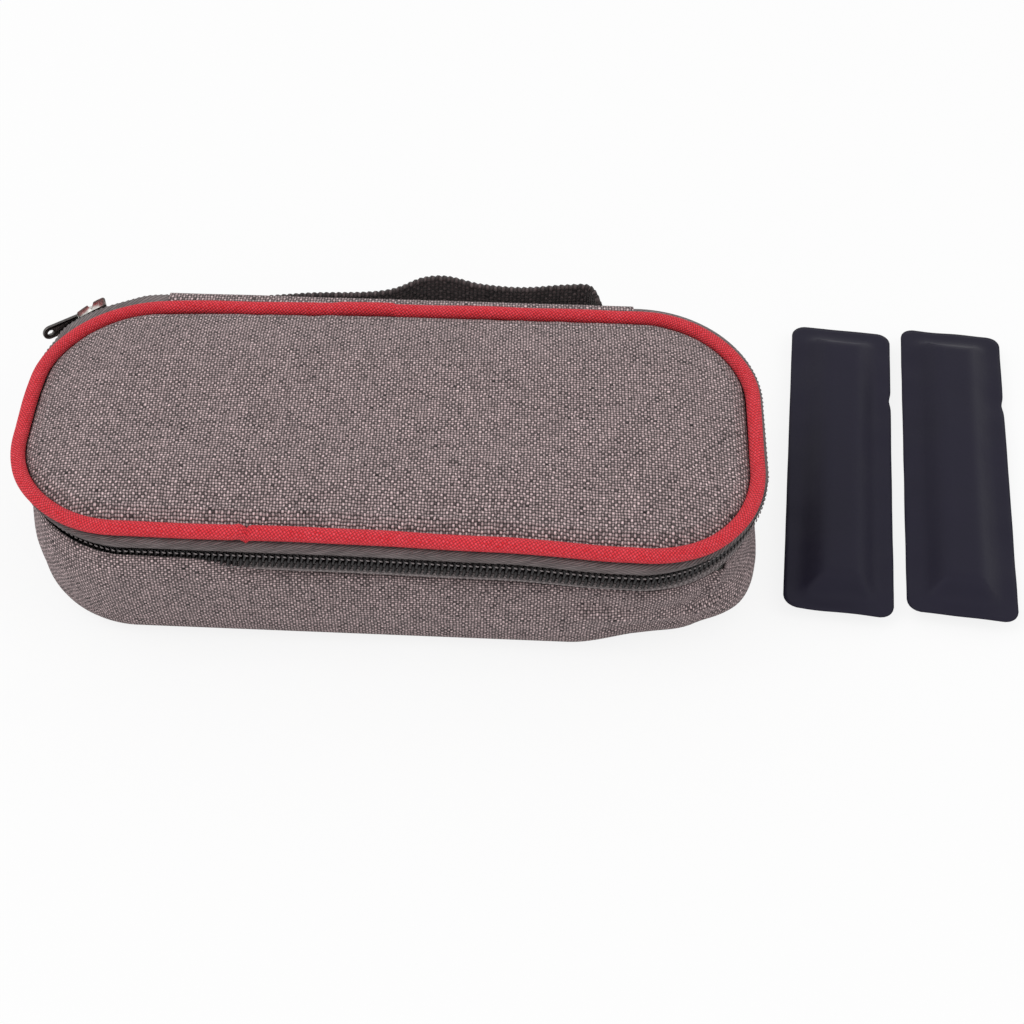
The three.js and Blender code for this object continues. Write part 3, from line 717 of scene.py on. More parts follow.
# Lining binding: black ribbed tape folded over the inside of the lining's rim and sewn through
# with one row of thread
def herringbone():
    group, given, result = new_group(
        "herringbone",
        {
            "Place": "NodeSocketVector",
            "Rib": "NodeSocketFloat",
            "Band": "NodeSocketFloat",
            "Slant": "NodeSocketFloat",
        },
        {"Height": "NodeSocketFloat", "Tone": "NodeSocketFloat"},
    )
    split = group.nodes.new("ShaderNodeSeparateXYZ")
    group.links.new(given["Place"], split.inputs[0])
    band = math_node(group, "DIVIDE", split.outputs[1], given["Band"])
    zigzag = math_node(group, "PINGPONG", band, 1)
    slant = math_node(group, "MULTIPLY", math_node(group, "MULTIPLY", zigzag, given["Band"]), given["Slant"])
    along = math_node(group, "DIVIDE", math_node(group, "ADD", split.outputs[0], slant), given["Rib"])
    swell = math_node(group, "SINE", math_node(group, "MULTIPLY", math_node(group, "FRACT", along), pi))
    fine = math_node(group, "DIVIDE", split.outputs[1], given["Rib"])
    cross = math_node(group, "SINE", math_node(group, "MULTIPLY", math_node(group, "FRACT", fine), pi))
    cross_height = math_node(group, "MULTIPLY_ADD", cross, 0.3, 0.7)
    height = math_node(group, "MULTIPLY", math_node(group, "SQRT", swell), cross_height)
    key = group.nodes.new("ShaderNodeCombineXYZ")
    group.links.new(math_node(group, "FLOOR", along), key.inputs[0])
    group.links.new(math_node(group, "FLOOR", fine), key.inputs[1])
    scatter = group.nodes.new("ShaderNodeTexWhiteNoise")
    scatter.noise_dimensions = "2D"
    group.links.new(key.outputs[0], scatter.inputs["Vector"])
    group.links.new(height, result["Height"])
    group.links.new(scatter.outputs["Value"], result["Tone"])
    return group


ribs = herringbone()


# A cloth of slanting ribs in bands. A slant of 1 crosses a band at half a right angle.
def ribbed_material(name, dark, pale, rib, band, bump, slant):
    material, tree, shader = new_material(name, roughness=0.85, sheen=0.1)
    place = cloth_place(tree)
    threads = group_node(tree, ribs, Place=place, Rib=rib, Band=band, Slant=slant)
    # Painted shade: the colour follows the ribs' height, so the grooves between them are darker; a random
    # tone per rib is mixed in.
    tone = math_node(tree, "MULTIPLY", threads.outputs["Height"], 0.65)
    tone = math_node(tree, "MULTIPLY_ADD", threads.outputs["Tone"], 0.35, tone)
    patches = math_node(tree, "MULTIPLY_ADD", noise_node(tree, place, 70, 3), 0.3, 0.85)
    tinted = mixed(tree, 1.0, mixed(tree, tone, dark, pale), patches, "MULTIPLY")
    tree.links.new(tinted, shader.inputs["Base Color"])
    relief(tree, shader, threads.outputs["Height"], bump)
    return material


black_binding = ribbed_material(
    "black_binding",
    dark=(0.006, 0.005, 0.006, 1),
    pale=(0.04, 0.034, 0.036, 1),
    rib=0.0005,
    band=0.002,
    bump=0.00012,
    slant=1.0,
)
binding_out = wall_inset + lining_depth + seat
binding_in = binding_out + fabric
binding_height = 0.004


def rounded_band(inset_low, inset_high, z_low, z_high, share=0.35):
    cut = min(inset_high - inset_low, z_high - z_low) * share
    return [
        (inset_low, z_low + cut),
        (inset_low, z_high - cut),
        (inset_low + cut, z_high),
        (inset_high - cut, z_high),
        (inset_high, z_high - cut),
        (inset_high, z_low + cut),
        (inset_high - cut, z_low),
        (inset_low + cut, z_low),
    ]


binding_section = rounded_band(binding_out, binding_in, rim_top - binding_height, rim_top)
binding = hooped("lining_binding", binding_section, black_binding)
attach(binding, "case_base")
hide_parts("base_binding")


# Binding stitches: one row of black polyester thread, sewn by machine through the binding inside
# the rim. Each stitch is a short piece of the twisted thread.
def thread_material(name, colour):
    material, tree, shader = new_material(name, 0.6, sheen=0.2)
    place = tree.nodes.new("ShaderNodeTexCoord").outputs["Object"]
    twist = tree.nodes.new("ShaderNodeTexWave")
    tree.links.new(place, twist.inputs["Vector"])
    twist.inputs["Scale"].default_value = 900
    # Painted shade: the grooves of the twist get a darker copy of the thread's colour.
    twist_shade = tuple(0.6 * part for part in colour[:3]) + (1,)
    tree.links.new(mixed(tree, twist.outputs["Fac"], twist_shade, colour), shader.inputs["Base Color"])
    return material


def one_stitch(length, thickness):
    bm = bmesh.new()
    bmesh.ops.create_uvsphere(bm, u_segments=6, v_segments=4, radius=0.5)
    bmesh.ops.rotate(bm, verts=bm.verts, cent=still, matrix=Matrix.Rotation(pi / 2, 3, "Y"))
    bmesh.ops.scale(bm, verts=bm.verts, vec=(length, thickness, thickness))
    mesh = bpy.data.meshes.new("stitch")
    bm.to_mesh(mesh)
    bm.free()
    return mesh


def copies(bm, mesh, places):
    for place in places:
        copy = mesh.copy()
        copy.transform(place)
        bm.from_mesh(copy)
        bpy.data.meshes.remove(copy)


def stitched(name, places, material, length=0.0019, thickness=0.0004, forward=None, settled=True):
    bm = bmesh.new()
    stitch = one_stitch(length, thickness)
    copies(bm, stitch, places)
    bpy.data.meshes.remove(stitch)
    if settled:
        settle(bm, forward)
    return mesh_piece(bm, name, material)


def row_round(inset, z, start, end, pitch):
    count = round((end - start) / pitch)
    middle = Matrix.Translation((0, half_depth - inset, z))
    return [carried(start + (end - start) * (n + 0.5) / count) @ middle for n in range(count)]


black_thread = thread_material("black_thread", (0.03, 0.026, 0.028, 1))
binding_stitch_pitch = 0.0026
binding_row = row_round(binding_in, rim_top - binding_height / 2, 0, perimeter, binding_stitch_pitch)
binding_stitches = stitched("binding_stitches", binding_row, black_thread)
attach(binding_stitches, "case_base")


# Pen straps: two elastic straps across the floor, sewn down between the pens, and slack in an
# arch over each of them
def ribbon(name, place, length, width, thickness, material, step=0.0012):
    bm = bmesh.new()
    along, across = max(2, round(length / step)), max(2, round(width / step))
    bmesh.ops.create_grid(bm, x_segments=along, y_segments=across, size=0.5)
    layer = bm.loops.layers.uv.new("cloth")
    for face in bm.faces:
        for loop in face.loops:
            loop[layer].uv = (loop.vert.co.x * length, loop.vert.co.y * width)
    for vert in bm.verts:
        vert.co = place(vert.co.x + 0.5, vert.co.y)
    bmesh.ops.recalc_face_normals(bm, faces=bm.faces)
    bmesh.ops.solidify(bm, geom=bm.faces, thickness=thickness)
    return mesh_piece(bm, name, material)


elastic = ribbed_material(
    "black_elastic",
    dark=(0.006, 0.005, 0.006, 1),
    pale=(0.045, 0.038, 0.04, 1),
    rib=0.0008,
    band=0.0008,
    bump=0.00018,
    slant=1.0,
)
pen_count = 3
strap_thickness = 0.0009
arch_roundness = 0.9
for side in ("left", "right"):
    low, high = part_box(f"pen_strap_{side}")
    arch = high.z - low.z - strap_thickness

    def strap_place(along, across):
        rise = arch * abs(sin(pi * along * pen_count)) ** arch_roundness
        y = low.y + (high.y - low.y) * along
        x = (low.x + high.x) / 2 + across * (high.x - low.x)
        return Vector((x, y, high.z - arch + rise))

    strap = ribbon(f"{side}_pen_strap", strap_place, high.y - low.y, high.x - low.x, strap_thickness, elastic)
    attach(strap, "case_base")
    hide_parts(f"pen_strap_{side}")

# Zipper tapes: grey-brown herringbone tape, sewn behind the wall and under the piping. Each
# carries one of the coils on its free edge.
tape_cloth = ribbed_material(
    "tape_cloth",
    dark=(0.02, 0.015, 0.0155, 1),
    pale=(0.24, 0.2, 0.2, 1),
    rib=0.0016,
    band=0.006,
    bump=0.0003,
    slant=-1.6,
)
hinge_low, hinge_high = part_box("hinge_cloth_upper")
hinge_half = hinge_high.x
tape_tuck = 0.006
chain_height = hinge_low.z - seat / 2
coil_width = 0.0021
coil_inset = 0.0008
bend_foot = wall_top + seat
bend_top = wall_top + coil_width - seat
lower_edge = lower_tape_high.z
lower_section = [
    (sewn_tape, lower_tape_low.z),
    (sewn_tape, bend_foot - seat),
    (sewn_tape - seat, bend_foot + seat / 2),
    (tape_inset + seat, bend_top - seat / 2),
    (tape_inset, bend_top + seat),
    (tape_inset, lower_edge),
]
lower_section += [(inset + tape, z) for inset, z in lower_section[::-1]]
tape_run = (hinge_half - tape_tuck, perimeter - hinge_half + tape_tuck)
lower_tape = hooped("lower_tape", lower_section, tape_cloth, start=tape_run[0], end=tape_run[1])
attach(lower_tape, "case_base")
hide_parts("lower_zipper_tape")

piping_radius = (piping_high.z - piping_low.z) / 2
piping_height = (piping_high.z + piping_low.z) / 2
piping_middle = half_length - piping_high.x + piping_radius
upper_edge = tape_low.z
upper_bend = upper_edge + coil_width + 4 * seat
top_out = piping_middle + seat
roof = coil_inset + seat / 2
upper_section = [
    (tape_inset, upper_edge),
    (tape_inset, upper_bend - 4 * seat),
    (tape_inset - seat, upper_bend - 3 * seat),
    (roof + seat, upper_bend - 2 * seat),
    (roof, upper_bend - seat),
    (roof + seat, upper_bend),
    (tape_inset + 2 * seat, upper_bend + 3 * seat),
    (top_out, band_top),
    (top_out + tape, band_top - tape),
    (tape_inset + 4 * seat, upper_bend),
    (tape_back, upper_bend - 2 * seat),
    (tape_back, upper_edge),
]
upper_tape = hooped("upper_tape", upper_section, tape_cloth, start=tape_run[0], end=tape_run[1])
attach(upper_tape, "lid")
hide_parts("upper_zipper_tape")


# Zipper chain: two coils of black nylon wire. Each turn of a coil is a tooth, with a head that
# swells between the other coil's heads. The chain is open in the slider's corner.
def nylon_material():
    material, tree, shader = new_material("black_nylon", 0.42, specular=0.35)
    place = tree.nodes.new("ShaderNodeTexCoord").outputs["Object"]
    wear = noise_node(tree, place, 700, 3)
    tone = mixed(tree, wear, (0.006, 0.005, 0.0055, 1), (0.022, 0.018, 0.019, 1))
    tree.links.new(tone, shader.inputs["Base Color"])
    tree.links.new(math_node(tree, "MULTIPLY_ADD", wear, 0.25, 0.3), shader.inputs["Roughness"])
    return material


black_nylon = nylon_material()
wire = 0.00034
tooth_pitch = 0.0016
tooth_height = 0.0016
tooth_clearance = 0.0005
tooth_swell = 0.18
turn_slant = 0.35
coil_thickness = 0.0015
chain_start = hinge_half + seat
chain_run = perimeter - 2 * chain_start
tooth_count = round(chain_run / tooth_pitch)
slider_travel = radians(42)
open_end = run_x + corner_radius * (slider_turn + slider_travel)
closing = ((open_end + 0.005, 0), (open_end + 0.009, 1))
open_shift = (tooth_height - tooth_clearance + 0.0008) / 2 + seat
tooth_back = (tooth_height + tooth_clearance) / 2 + coil_width * 0.72
tooth_head = (tooth_height - tooth_clearance) / 2
wire_outer = half_depth - coil_inset - wire
wire_inner = wire_outer - coil_thickness + 2 * wire


# One turn of the coil at the back's middle, with its head up, slanting to the next turn
def coil_turn():
    bm = bmesh.new()
    foot = chain_height - tooth_back + coil_thickness / 2
    head = chain_height + tooth_head - coil_thickness / 2
    round_wire = bmesh.ops.create_circle(bm, segments=6, radius=wire)["verts"]
    bmesh.ops.translate(bm, verts=round_wire, vec=(0, wire_outer, foot))
    middle = (wire_outer + wire_inner) / 2
    rise = Vector((0, 0, head - foot))
    turn_axis = Vector((1, 0, 0))
    section = round_wire + list(dict.fromkeys(edge for vert in round_wire for edge in vert.link_edges))
    legs = (
        (still, turn_axis, rise, 0, 3),
        (Vector((0, middle, head)), turn_axis, still, pi, 4),
        (still, turn_axis, -rise, 0, 2),
        (Vector((0, middle, foot)), turn_axis, still, pi, 3),
    )
    carry(bm, section, legs)
    bmesh.ops.remove_doubles(bm, verts=bm.verts, dist=wire / 20)
    bmesh.ops.recalc_face_normals(bm, faces=bm.faces)
    for vert in bm.verts:
        near_head = between(vert.co.z, ((head - wire, 0), (head + wire, 1)))
        slant = (vert.co.y - middle) / (wire_outer - wire_inner) * between(vert.co.z, ((foot, 1), (head, 0)))
        vert.co.x = vert.co.x * (1 + tooth_swell * near_head) + slant * tooth_pitch * turn_slant
    mesh = bpy.data.meshes.new("coil_turn")
    bm.to_mesh(mesh)
    bm.free()
    return mesh


def opened(distance):
    return 1 - between(distance, closing)


def chain(name, up):
    turn = coil_turn()
    flip = Matrix.Identity(4)
    if up < 0:
        axis_point = Matrix.Translation((0, 0, chain_height))
        flip = axis_point @ Matrix.Rotation(pi, 4, "Y") @ axis_point.inverted()
    places = []
    for tooth in range(tooth_count + (up < 0)):
        distance = chain_start + chain_run * (tooth + (0.5 if up > 0 else 0)) / tooth_count
        shift = Matrix.Translation((0, 0, -up * open_shift * opened(distance)))
        places.append(carried(distance) @ shift @ flip)
    bm = bmesh.new()
    copies(bm, turn, places)
    bpy.data.meshes.remove(turn)
    settle(bm)
    return mesh_piece(bm, name, black_nylon)


lower_chain = chain("lower_chain", 1)
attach(lower_chain, "case_base")
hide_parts("lower_coil")
upper_chain = chain("upper_chain", -1)
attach(upper_chain, "lid")
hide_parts("upper_coil")

# Chain stitches: grey polyester thread that holds the coils to their tapes. The machine lays one
# slanting stitch over the back of each turn, so the stitches keep the pitch of the teeth.
chain_stitch_slant = radians(20)
grey_thread = thread_material("grey_thread", (0.3, 0.26, 0.26, 1))
for name, body, up in (("lower_chain_stitches", "case_base", 1), ("upper_chain_stitches", "lid", -1)):
    places = []
    for tooth in range(tooth_count):
        distance = chain_start + chain_run * (tooth + (0.5 if up < 0 else 0)) / tooth_count
        z = chain_height - up * (tooth_back - wire + open_shift * opened(distance))
        slant = Matrix.Rotation(chain_stitch_slant * up, 4, "Y")
        places.append(carried(distance) @ Matrix.Translation((0, half_depth - coil_inset, z)) @ slant)
    row = stitched(name, places, grey_thread, length=0.001, thickness=0.00042)
    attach(row, body)

# Hinge cloth: one strip of the grey cloth in the back, where there is no zipper. It is sewn to the wall and
# to the lid.
hinge_foot = wall_inset - fabric - seat
hinge_section = [
    (hinge_foot, wall_top + seat),
    (hinge_foot * 0.4, bend_foot + seat),
    (0, bend_top),
    (0, chain_height - 3 * seat),
    (0, chain_height + 3 * seat),
    (0, upper_bend - seat),
    (seat, upper_bend + seat),
    (hinge_foot * 0.6, band_top - 2 * seat),
    (piping_middle - piping_radius, band_top),
]
hinge_section += [(inset + fabric, z) for inset, z in hinge_section[::-1]]
hinge_wave = 0.0005
hinge_wave_height = ((wall_top, 0), (chain_height, 1), (band_top, 0))
bm = bmesh.new()
sections = stand_section(bm, hinge_section, hinge_half, True)
for part in sections:
    if isinstance(part, bmesh.types.BMVert):
        part.co.x = hinge_half
carry(bm, sections, [(still, upright, Vector((-2 * hinge_half, 0, 0)), 0, 80)])
close_up(bm)
lay_round(bm)
settle(bm)
for vert in bm.verts:
    wave = noise.noise(Vector((vert.co.x * 60, 0, vert.co.z * 120)))
    vert.co.y += hinge_wave * wave * between(vert.co.z, hinge_wave_height)
hinge = mesh_piece(bm, "hinge_cloth", grey_cloth)
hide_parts("hinge_cloth_lower", "hinge_cloth_upper")
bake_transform(hinge)

# Piping: a cord under a bias strip of red woven cloth, sewn in round the lid. Its ends meet at
# the front left.
red_cloth = cloth_material(
    "red_cloth",
    dark=(0.8, 0.022, 0.034, 1),
    pale=(1.0, 0.085, 0.115, 1),
    thread=0.0007,
    wander=0.0002,
    bump=0.00035,
    angle=pi / 5,
    contrast=0.3,
    gap_shade=0.6,
    blotch=0.08,
    sheen=0.05,
)
piping_sides = 14
piping_seam = 0.6 * pi
piping_swell = 0.00015
piping_unevenness = 0.00035
piping_seed = 5
piping_join = Vector((-0.0346, -0.0437))
join_reach = 0.01
join_step = 0.0009
join_step_width = 0.0009
join_nick = 0.0011
join_nick_place = 0.0018
join_nick_width = 0.0006
piping_overlap = 0.0005
piping_overlap_side = ((-0.019, 0), (-0.015, 1), (-0.0015, 1), (-0.0012, 0))


def piping_points():
    points = []
    bend = piping_radius + piping_swell
    for step in range(piping_sides):
        angle = 2 * pi * (step + 0.5) / piping_sides - piping_seam
        points.append((piping_middle + bend * cos(angle), piping_height + bend * sin(angle)))
    return points


def lay_piping(bm):
    def up(point, inset):
        angle = atan2(point.z - piping_height, inset - piping_middle) + piping_seam
        return piping_radius * (angle % (2 * pi))

    lay_round(bm, up)


# The vector noise would start from the clock without its seed.
def uneven_piping(bm):
    noise.seed_set(piping_seed)
    for vert in bm.verts:
        vert.co += piping_unevenness * noise.noise_vector(vert.co * 45)
        past_join = vert.co.x - piping_join.x
        if (vert.co.xy - piping_join).length < join_reach:
            step = join_step * exp(-((past_join / join_step_width) ** 2))
            nick = join_nick * exp(-(((past_join - join_nick_place) / join_nick_width) ** 2))
            vert.co.y -= step * 0.5
            vert.co.z += step - nick
        if vert.co.y > 0:
            vert.co.y += piping_overlap * between(vert.co.x, piping_overlap_side)


piping = hooped(
    "piping", piping_points(), red_cloth, forward=1, lay=lay_piping, shape=uneven_piping, step=0.0007
)
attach(piping, "lid")
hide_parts("lid_piping")

# Lid cloth: a crowned panel of the grey cloth. It dips into the seam at the piping, shows the
# edge of the seam's turning as a faint ridge, and has small puckers along the seam.
panel_low, panel_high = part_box("lid_panel")
panel_inset = half_length - panel_high.x
panel_under = panel_low.z
lid_spread = 0.0305
lid_middle = 0.0345
lid_ring_growth = 1.35
lid_crown = panel_high.z - panel_low.z - fabric
turning_edge = 0.0042
turning_ridge = 0.00045
turning_shape = ((turning_edge - 0.0014, 0), (turning_edge - 0.0005, 1), (turning_edge + 0.0004, 0))
seam_dip = 0.0012
seam_dip_width = 0.0012
pucker = 0.0004
pucker_rise = 0.001
pucker_fade = 0.005
swell = 0.0009
swell_rise = 0.006


def crown_at(inset, z):
    share = min(max((inset - panel_inset) / (lid_spread - panel_inset), 0), 1)
    into = inset - panel_inset
    rise = z + lid_crown * share * (2 - share) - seam_dip * exp(-into / seam_dip_width)
    return rise + turning_ridge * between(into, turning_shape)


def crown_points(z, count):
    reach = lid_middle - panel_inset
    insets = [panel_inset + reach * (step / count) ** lid_ring_growth for step in range(count + 1)]
    return [(inset, crown_at(inset, z)) for inset in insets]


def puckered(bm):
    for vert in bm.verts:
        into = max(run_and_inset(vert.co + Vector((0, lid_forward, 0)))[1] - panel_inset, 0)
        fade = exp(-into / pucker_fade) * min(1, into / pucker_rise)
        fine = noise.noise(Vector((vert.co.x, vert.co.y, 0)) * 190)
        broad = noise.noise(Vector((vert.co.x * 0.8, vert.co.y, 3)) * 38)
        vert.co.z += pucker * fine * fade + swell * broad * (1 - exp(-into / swell_rise))


# Level faces take the weave of a panel, and the others that of a band round the case.
def lay_by_face(bm):
    lay_round(bm)
    layer = bm.loops.layers.uv["cloth"]
    for face in bm.faces:
        if abs(face.normal.z) > 0.6:
            for loop in face.loops:
                loop[layer].uv = loop.vert.co.xy


# Cuts the long faces along the lid's middle into small ones, so that they can bend
def lay_lid(bm):
    reach = half_depth - 0.0344
    for axis, count, step in ((Vector((0, 1, 0)), 3, reach / 4), (Vector((1, 0, 0)), 13, 0.005)):
        for n in range(-count, count + 1):
            middle = [face for face in bm.faces if all(abs(vert.co.y) < reach for vert in face.verts)]
            part = middle + list(dict.fromkeys(edge for face in middle for edge in face.edges))
            part += list(dict.fromkeys(vert for face in middle for vert in face.verts))
            bmesh.ops.bisect_plane(bm, geom=part, dist=seat / 10, plane_co=axis * step * n, plane_no=axis)
    lay_by_face(bm)


lid_top = crown_points(panel_under + fabric, 26)
lid_under = []
for inset, z in crown_points(panel_under + fabric, 6):
    lid_under.append((inset, panel_under + (z - panel_under - fabric) * 0.8))
lid_section = lid_under[::-1] + lid_top
lid_cloth = hooped(
    "lid_cloth", lid_section, grey_cloth, closed=False, forward=1, lay=lay_lid, shape=puckered
)
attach(lid_cloth, "lid")
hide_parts("lid_panel")

# Lid foam: a pad of white closed-cell foam under the lid cloth, cut to its crown. The cloth and
# the silver film are sewn together round it and hold it.
lid_foam_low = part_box("lid_foam")[0]
pad_hollow = 0.0008
pad_line = []
for step in range(1, 9):
    pad_line.append((panel_inset + (lid_spread - panel_inset) * step / 8, step / 8))
pad_under = [(inset, lid_foam_low.z + pad_hollow) for inset, share in pad_line[::-1]]
pad_edge = (panel_inset, lid_foam_low.z), (panel_inset, lid_foam_low.z + foam)
pad_top = [(inset, lid_foam_low.z + foam + lid_crown * share * (2 - share)) for inset, share in pad_line]
pad = hooped(
    "lid_foam_pad", [*pad_under, *pad_edge, *pad_top], foam_white, closed=False, forward=1, step=0.003
)
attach(pad, "lid")
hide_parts("lid_foam")


# Lid foil: silver film that lines the lid under the foam, cut from a metallised sheet. A level
# sheet is laid inside the outline, from the front to a place behind, in rows of even length.
def rounded_sheet(inset, z, behind, step=0.003):
    bm = bmesh.new()
    front = half_depth - inset
    columns, rows = round(2 * half_length / step), round(2 * front / step)
    bmesh.ops.create_grid(bm, x_segments=columns, y_segments=rows, size=0.5)
    for vert in bm.verts:
        y = -front + (behind + front) * (0.5 + 0.5 * sin(pi * vert.co.y))
        past = max(abs(y) - run_y, 0)
        radius = corner_radius - inset
        reach = run_x + (radius**2 - min(past, radius) ** 2) ** 0.5
        vert.co = (2 * vert.co.x * reach, y, z)
    lay_flat(bm)
    bmesh.ops.recalc_face_normals(bm, faces=bm.faces)
    return bm


lid_foil_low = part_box("lid_lining")[0]
bm = rounded_sheet(panel_inset, lid_foil_low.z, half_depth - panel_inset)
bmesh.ops.solidify(bm, geom=bm.faces, thickness=-foil)
crumpled(bm)
settle(bm, 1)
lid_foil = mesh_piece(bm, "lid_foil", silver_foil)
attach(lid_foil, "lid")
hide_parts("lid_lining")

# Lid binding: black ribbed tape folded over the edges of the film and the net, and sewn down
# with black thread. It hides the seam inside the lid.
lid_binding_low, lid_binding_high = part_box("lid_binding")
edge_out = half_length - lid_binding_high.x
edge_in = edge_out + binding_height
edge_section = rounded_band(edge_out, edge_in, lid_binding_low.z, lid_binding_high.z)
edge_binding = hooped("lid_edge_binding", edge_section, black_binding, forward=0)
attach(edge_binding, "lid")
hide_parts("lid_binding")
edge_row = row_round((edge_out + edge_in) / 2, lid_binding_low.z, 0, perimeter, binding_stitch_pitch)
edge_stitches = stitched("lid_edge_stitches", edge_row, black_thread, forward=0)
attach(edge_stitches, "lid")


# Net pocket: black net stretched under the lid, held by the binding at three sides, with an
# elastic hem along its mouth
net_cell = 0.0016
net_hole = 0.34


def net_material():
    material, tree, shader = new_material("black_net", 0.6, sheen=0.1)
    place = tree.nodes.new("ShaderNodeSeparateXYZ")
    tree.links.new(cloth_place(tree, pi / 4), place.inputs[0])
    strands = []
    for axis in (0, 1):
        wave = math_node(tree, "FRACT", math_node(tree, "DIVIDE", place.outputs[axis], net_cell))
        strands.append(math_node(tree, "ABSOLUTE", math_node(tree, "SUBTRACT", wave, 0.5)))
    nearest = math_node(tree, "MAXIMUM", *strands)
    tree.links.new(math_node(tree, "GREATER_THAN", nearest, net_hole), shader.inputs["Alpha"])
    # Painted highlight and shade: each strand is paler along its middle and darker at its sides.
    tone = mixed(tree, nearest, (0.006, 0.005, 0.006, 1), (0.035, 0.03, 0.032, 1))
    tree.links.new(tone, shader.inputs["Base Color"])
    return material


pocket_low, pocket_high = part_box("mesh_pocket")
pocket_inset = half_length - pocket_high.x
bm = rounded_sheet(pocket_inset, (pocket_low.z + pocket_high.z) / 2, pocket_high.y)
pocket_area = sum(face.calc_area() for face in bm.faces)
settle(bm, 0)
net = mesh_piece(bm, "net_pocket", net_material())
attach(net, "lid")
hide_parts("mesh_pocket")

hem_low, hem_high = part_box("pocket_hem")
hem_ripple = 0.00015


def hem_place(along, across):
    x = hem_low.x + (hem_high.x - hem_low.x) * along
    y = (hem_low.y + hem_high.y) / 2 + across * (hem_high.y - hem_low.y)
    return Vector((x, y, hem_high.z + hem_ripple * cos(x * 3000)))


hem_long, hem_wide = hem_high.x - hem_low.x, hem_high.y - hem_low.y
hem = ribbon("net_hem", hem_place, hem_long, hem_wide, hem_high.z - hem_low.z, elastic, step=0.001)
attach(hem, "lid")
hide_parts("pocket_hem")


# Slider and puller: a die-cast nickel-plated slider with a bridge, and a stamped tab that hangs from it.
# Their edges are rounded by the casting and worn bright. The tab's nickel is a darker copy, which paints
# shade on it.
def nickel_material(name, worn, bright):
    material, tree, shader = new_material(name, 0.2, specular=0.5)
    place = tree.nodes.new("ShaderNodeTexCoord").outputs["Object"]
    wear = noise_node(tree, place, 900, 4)
    tree.links.new(math_node(tree, "MULTIPLY_ADD", wear, 0.22, 0.14), shader.inputs["Roughness"])
    tree.links.new(mixed(tree, wear, worn, bright), shader.inputs["Base Color"])
    shader.inputs["Metallic"].default_value = 1
    relief(tree, shader, wear, 0.00003)
    return material


nickel_plate = nickel_material("nickel_plate", (0.5, 0.49, 0.46, 1), (0.68, 0.67, 0.64, 1))
# Painted shade: the tab's nickel is a darker copy of the slider's.
shaded_nickel = nickel_material("shaded_nickel", (0.05, 0.046, 0.044, 1), (0.16, 0.15, 0.145, 1))
casting_edge = 0.00018
bridge_start = 0.0371
bridge_widening = 1.65
for name, node, body, plating in (
    ("slider_casting", "slider_body", "slider", nickel_plate),
    ("puller_tab", "slider_puller", "puller", shaded_nickel),
):
    bm = bmesh.new()
    bm.from_mesh(bpy.data.objects[node].data)
    bm.transform(bpy.data.objects[node].matrix_world)
    bmesh.ops.remove_doubles(bm, verts=bm.verts, dist=fabric / 200)
    bmesh.ops.dissolve_limit(bm, angle_limit=radians(1), verts=bm.verts, edges=bm.edges)
    if body == "slider":
        for vert in bm.verts:
            if hypot(vert.co.x + run_x, vert.co.y - run_y) > bridge_start:
                vert.co.z = chain_height + (vert.co.z - chain_height) * bridge_widening
    sharp = [edge for edge in bm.edges if edge.calc_face_angle(0) > radians(35)]
    bmesh.ops.bevel(bm, geom=sharp, offset=casting_edge, segments=2, affect="EDGES", profile=0.5, material=-1)
    bmesh.ops.recalc_face_normals(bm, faces=bm.faces)
    copy = mesh_piece(bm, name, plating)
    copy.data.set_sharp_from_angle(angle=radians(40))
    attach(copy, body)
    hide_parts(node)

# Handle: black ribbed webbing, sewn flat on the back at both ends, folded over there, and run
# across as a loose loop. Its left half sags, and its right half stands up.
handle_low, handle_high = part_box("handle_webbing")
handle_width = 0.02
handle_thickness = 0.0015
handle_end = handle_high.x
handle_skin = handle_low.y + handle_thickness / 2
handle_reach = handle_high.y - handle_thickness / 2
handle_foot = handle_low.z
handle_middle_foot = handle_high.z - handle_width
black_webbing = cloth_material(
    "black_webbing",
    dark=(0.008, 0.006, 0.0065, 1),
    pale=(0.15, 0.115, 0.115, 1),
    thread=0.00115,
    wander=0.0002,
    bump=0.0005,
    contrast=0.35,
    gap_shade=1.0,
)
handle_knots = [
    (handle_end - 0.012, handle_skin, handle_foot),
    (handle_end - 0.0014, handle_skin, handle_foot),
    (handle_end, handle_skin + 0.0014, handle_foot),
    (handle_end - 0.0014, handle_skin + 0.0028, handle_foot),
    (handle_end - 0.0045, handle_skin + 0.0102, handle_foot + 0.0028),
    (handle_end - 0.0085, handle_skin + 0.0152, handle_foot + 0.0078),
    (handle_end - 0.015, handle_skin + 0.0162, handle_foot + 0.0074),
    (0.034, handle_reach, handle_foot + 0.005),
    (0.022, handle_reach - 0.0003, handle_foot + 0.0058),
    (0.0125, handle_reach, handle_middle_foot - 0.0018),
    (0.0055, handle_reach + 0.0002, handle_middle_foot - 0.0028),
    (-0.003, handle_reach + 0.0002, handle_middle_foot - 0.0074),
    (-0.012, handle_reach, handle_middle_foot - 0.009),
    (-0.03, handle_reach, handle_foot),
    (-handle_end + 0.012, handle_skin + 0.0157, handle_foot - 0.002),
    (-handle_end + 0.006, handle_skin + 0.0102, handle_foot - 0.0012),
    (-handle_end + 0.0014, handle_skin + 0.0028, handle_foot),
    (-handle_end, handle_skin + 0.0014, handle_foot),
    (-handle_end + 0.0014, handle_skin, handle_foot),
    (-handle_end + 0.012, handle_skin, handle_foot),
]


